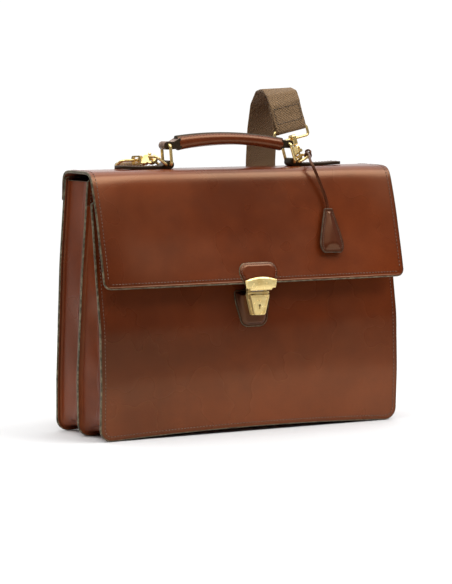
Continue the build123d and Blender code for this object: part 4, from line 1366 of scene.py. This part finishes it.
def knot_path():
    """A hitch of lace: two turns round the dee's outer bar with a bight across them."""
    bar_x = 101.1
    bar_z = 308.3
    points = []
    for angle in np.linspace(-0.5 * math.pi, 3.4 * math.pi, 56):
        drift = (angle + 0.5 * math.pi) / (3.9 * math.pi)
        points.append((bar_x + 2.9 * math.cos(angle), -11.0 + 5.4 * drift,
                       bar_z + 2.9 * math.sin(angle)))
    points += [(bar_x - 1.0, -5.0, bar_z + 5.0), (bar_x + 0.5, -8.0, bar_z + 6.2),
               (bar_x + 1.6, -11.4, bar_z + 4.6), (bar_x + 0.5, -12.6, bar_z + 2.0)]
    return soften(np.array(points) * MM, 0.9 * MM)[::2]


knot = tube("lace_knot", knot_path(), 1.15 * MM, dark_cognac, 10)
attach(knot, "dee_right")

# ---- camera, light and floor ----

view_azimuth = math.radians(-29.98)
view_elevation = math.radians(5.08)
view_distance = 2.9775
target = Vector((0, 0, 0.15))
camera_data = bpy.data.cameras.new("camera")
camera = bpy.data.objects.new("camera", camera_data)
scene.collection.objects.link(camera)
scene.camera = camera
back = Vector((math.sin(view_azimuth) * math.cos(view_elevation),
               -math.cos(view_azimuth) * math.cos(view_elevation), math.sin(view_elevation)))
camera.location = target + back * view_distance
camera.rotation_euler = back.to_track_quat("Z", "Y").to_euler()
camera_data.sensor_width = 36
camera_data.lens = 160.4
camera_data.clip_end = 100
camera_data.shift_x = -0.0045
camera_data.shift_y = 0.0050

scene.view_settings.view_transform = "Standard"
scene.view_settings.look = "None"


def studio_world():
    """A dim room with a soft ceiling of light overhead and a white backdrop behind the object."""
    world = bpy.data.worlds.new("studio")
    scene.world = world
    world.use_nodes = True
    tree = world.node_tree
    background = tree.nodes["Background"]
    direction = tree.nodes.new("ShaderNodeTexCoord").outputs["Generated"]
    parts = tree.nodes.new("ShaderNodeSeparateXYZ")
    tree.links.new(direction, parts.inputs[0])

    def ramp(axis, low, high, to_low=0.0, to_high=1.0):
        node = tree.nodes.new("ShaderNodeMapRange")
        node.interpolation_type = "SMOOTHSTEP"
        limits = {"From Min": low, "From Max": high, "To Min": to_low, "To Max": to_high}
        for label, value in limits.items():
            node.inputs[label].default_value = value
        tree.links.new(parts.outputs[axis], node.inputs["Value"])
        return node.outputs["Result"]

    ceiling = ramp("Z", 0.46, 0.82, room_light, ceiling_light)
    backdrop = ramp("Y", 0.15, 0.80, to_high=backdrop_light)
    aside = ramp("X", -0.60, 0.20, 0.42)
    screen = tree.nodes.new("ShaderNodeMath")
    screen.operation = "MULTIPLY"
    tree.links.new(backdrop, screen.inputs[0])
    tree.links.new(aside, screen.inputs[1])
    brighter = tree.nodes.new("ShaderNodeMath")
    brighter.operation = "MAXIMUM"
    tree.links.new(ceiling, brighter.inputs[0])
    tree.links.new(screen.outputs[0], brighter.inputs[1])
    path = tree.nodes.new("ShaderNodeLightPath").outputs["Is Camera Ray"]
    choose = tree.nodes.new("ShaderNodeMix")
    choose.data_type = "FLOAT"
    tree.links.new(path, choose.inputs[0])
    tree.links.new(brighter.outputs[0], choose.inputs[2])
    choose.inputs[3].default_value = 1.05
    tree.links.new(choose.outputs[0], background.inputs["Strength"])
    background.inputs["Color"].default_value = (1, 1, 1, 1)


room_light = 0.11
ceiling_light = 2.0
backdrop_light = 1.1
studio_world()


def soft_sun(name, toward, energy, spread):
    """A broad distant light that shines from a direction."""
    data = bpy.data.lights.new(name, "SUN")
    data.energy = energy
    data.angle = math.radians(spread)
    light = bpy.data.objects.new(name, data)
    scene.collection.objects.link(light)
    light.rotation_euler = Vector(toward).to_track_quat("Z", "Y").to_euler()


soft_sun("key_light", (0.48, -0.42, 0.77), 1.3, 36)
soft_sun("fill_light", (-0.40, -0.20, 1), 0.7, 60)

floor_radius = 1.15
around = [2 * math.pi * k / 96 for k in range(96)]
floor_points = [(floor_radius * math.cos(t), floor_radius * math.sin(t), 0) for t in around]
floor_mesh = bpy.data.meshes.new("floor")
floor_mesh.from_pydata(floor_points, [], [tuple(range(96))])
floor = bpy.data.objects.new("floor", floor_mesh)
scene.collection.objects.link(floor)
floor_nodes = Nodes("floor")
floor_nodes.set(base_color=(0.71, 0.71, 0.71, 1), roughness=0.8)
floor_mesh.materials.append(floor_nodes.material)
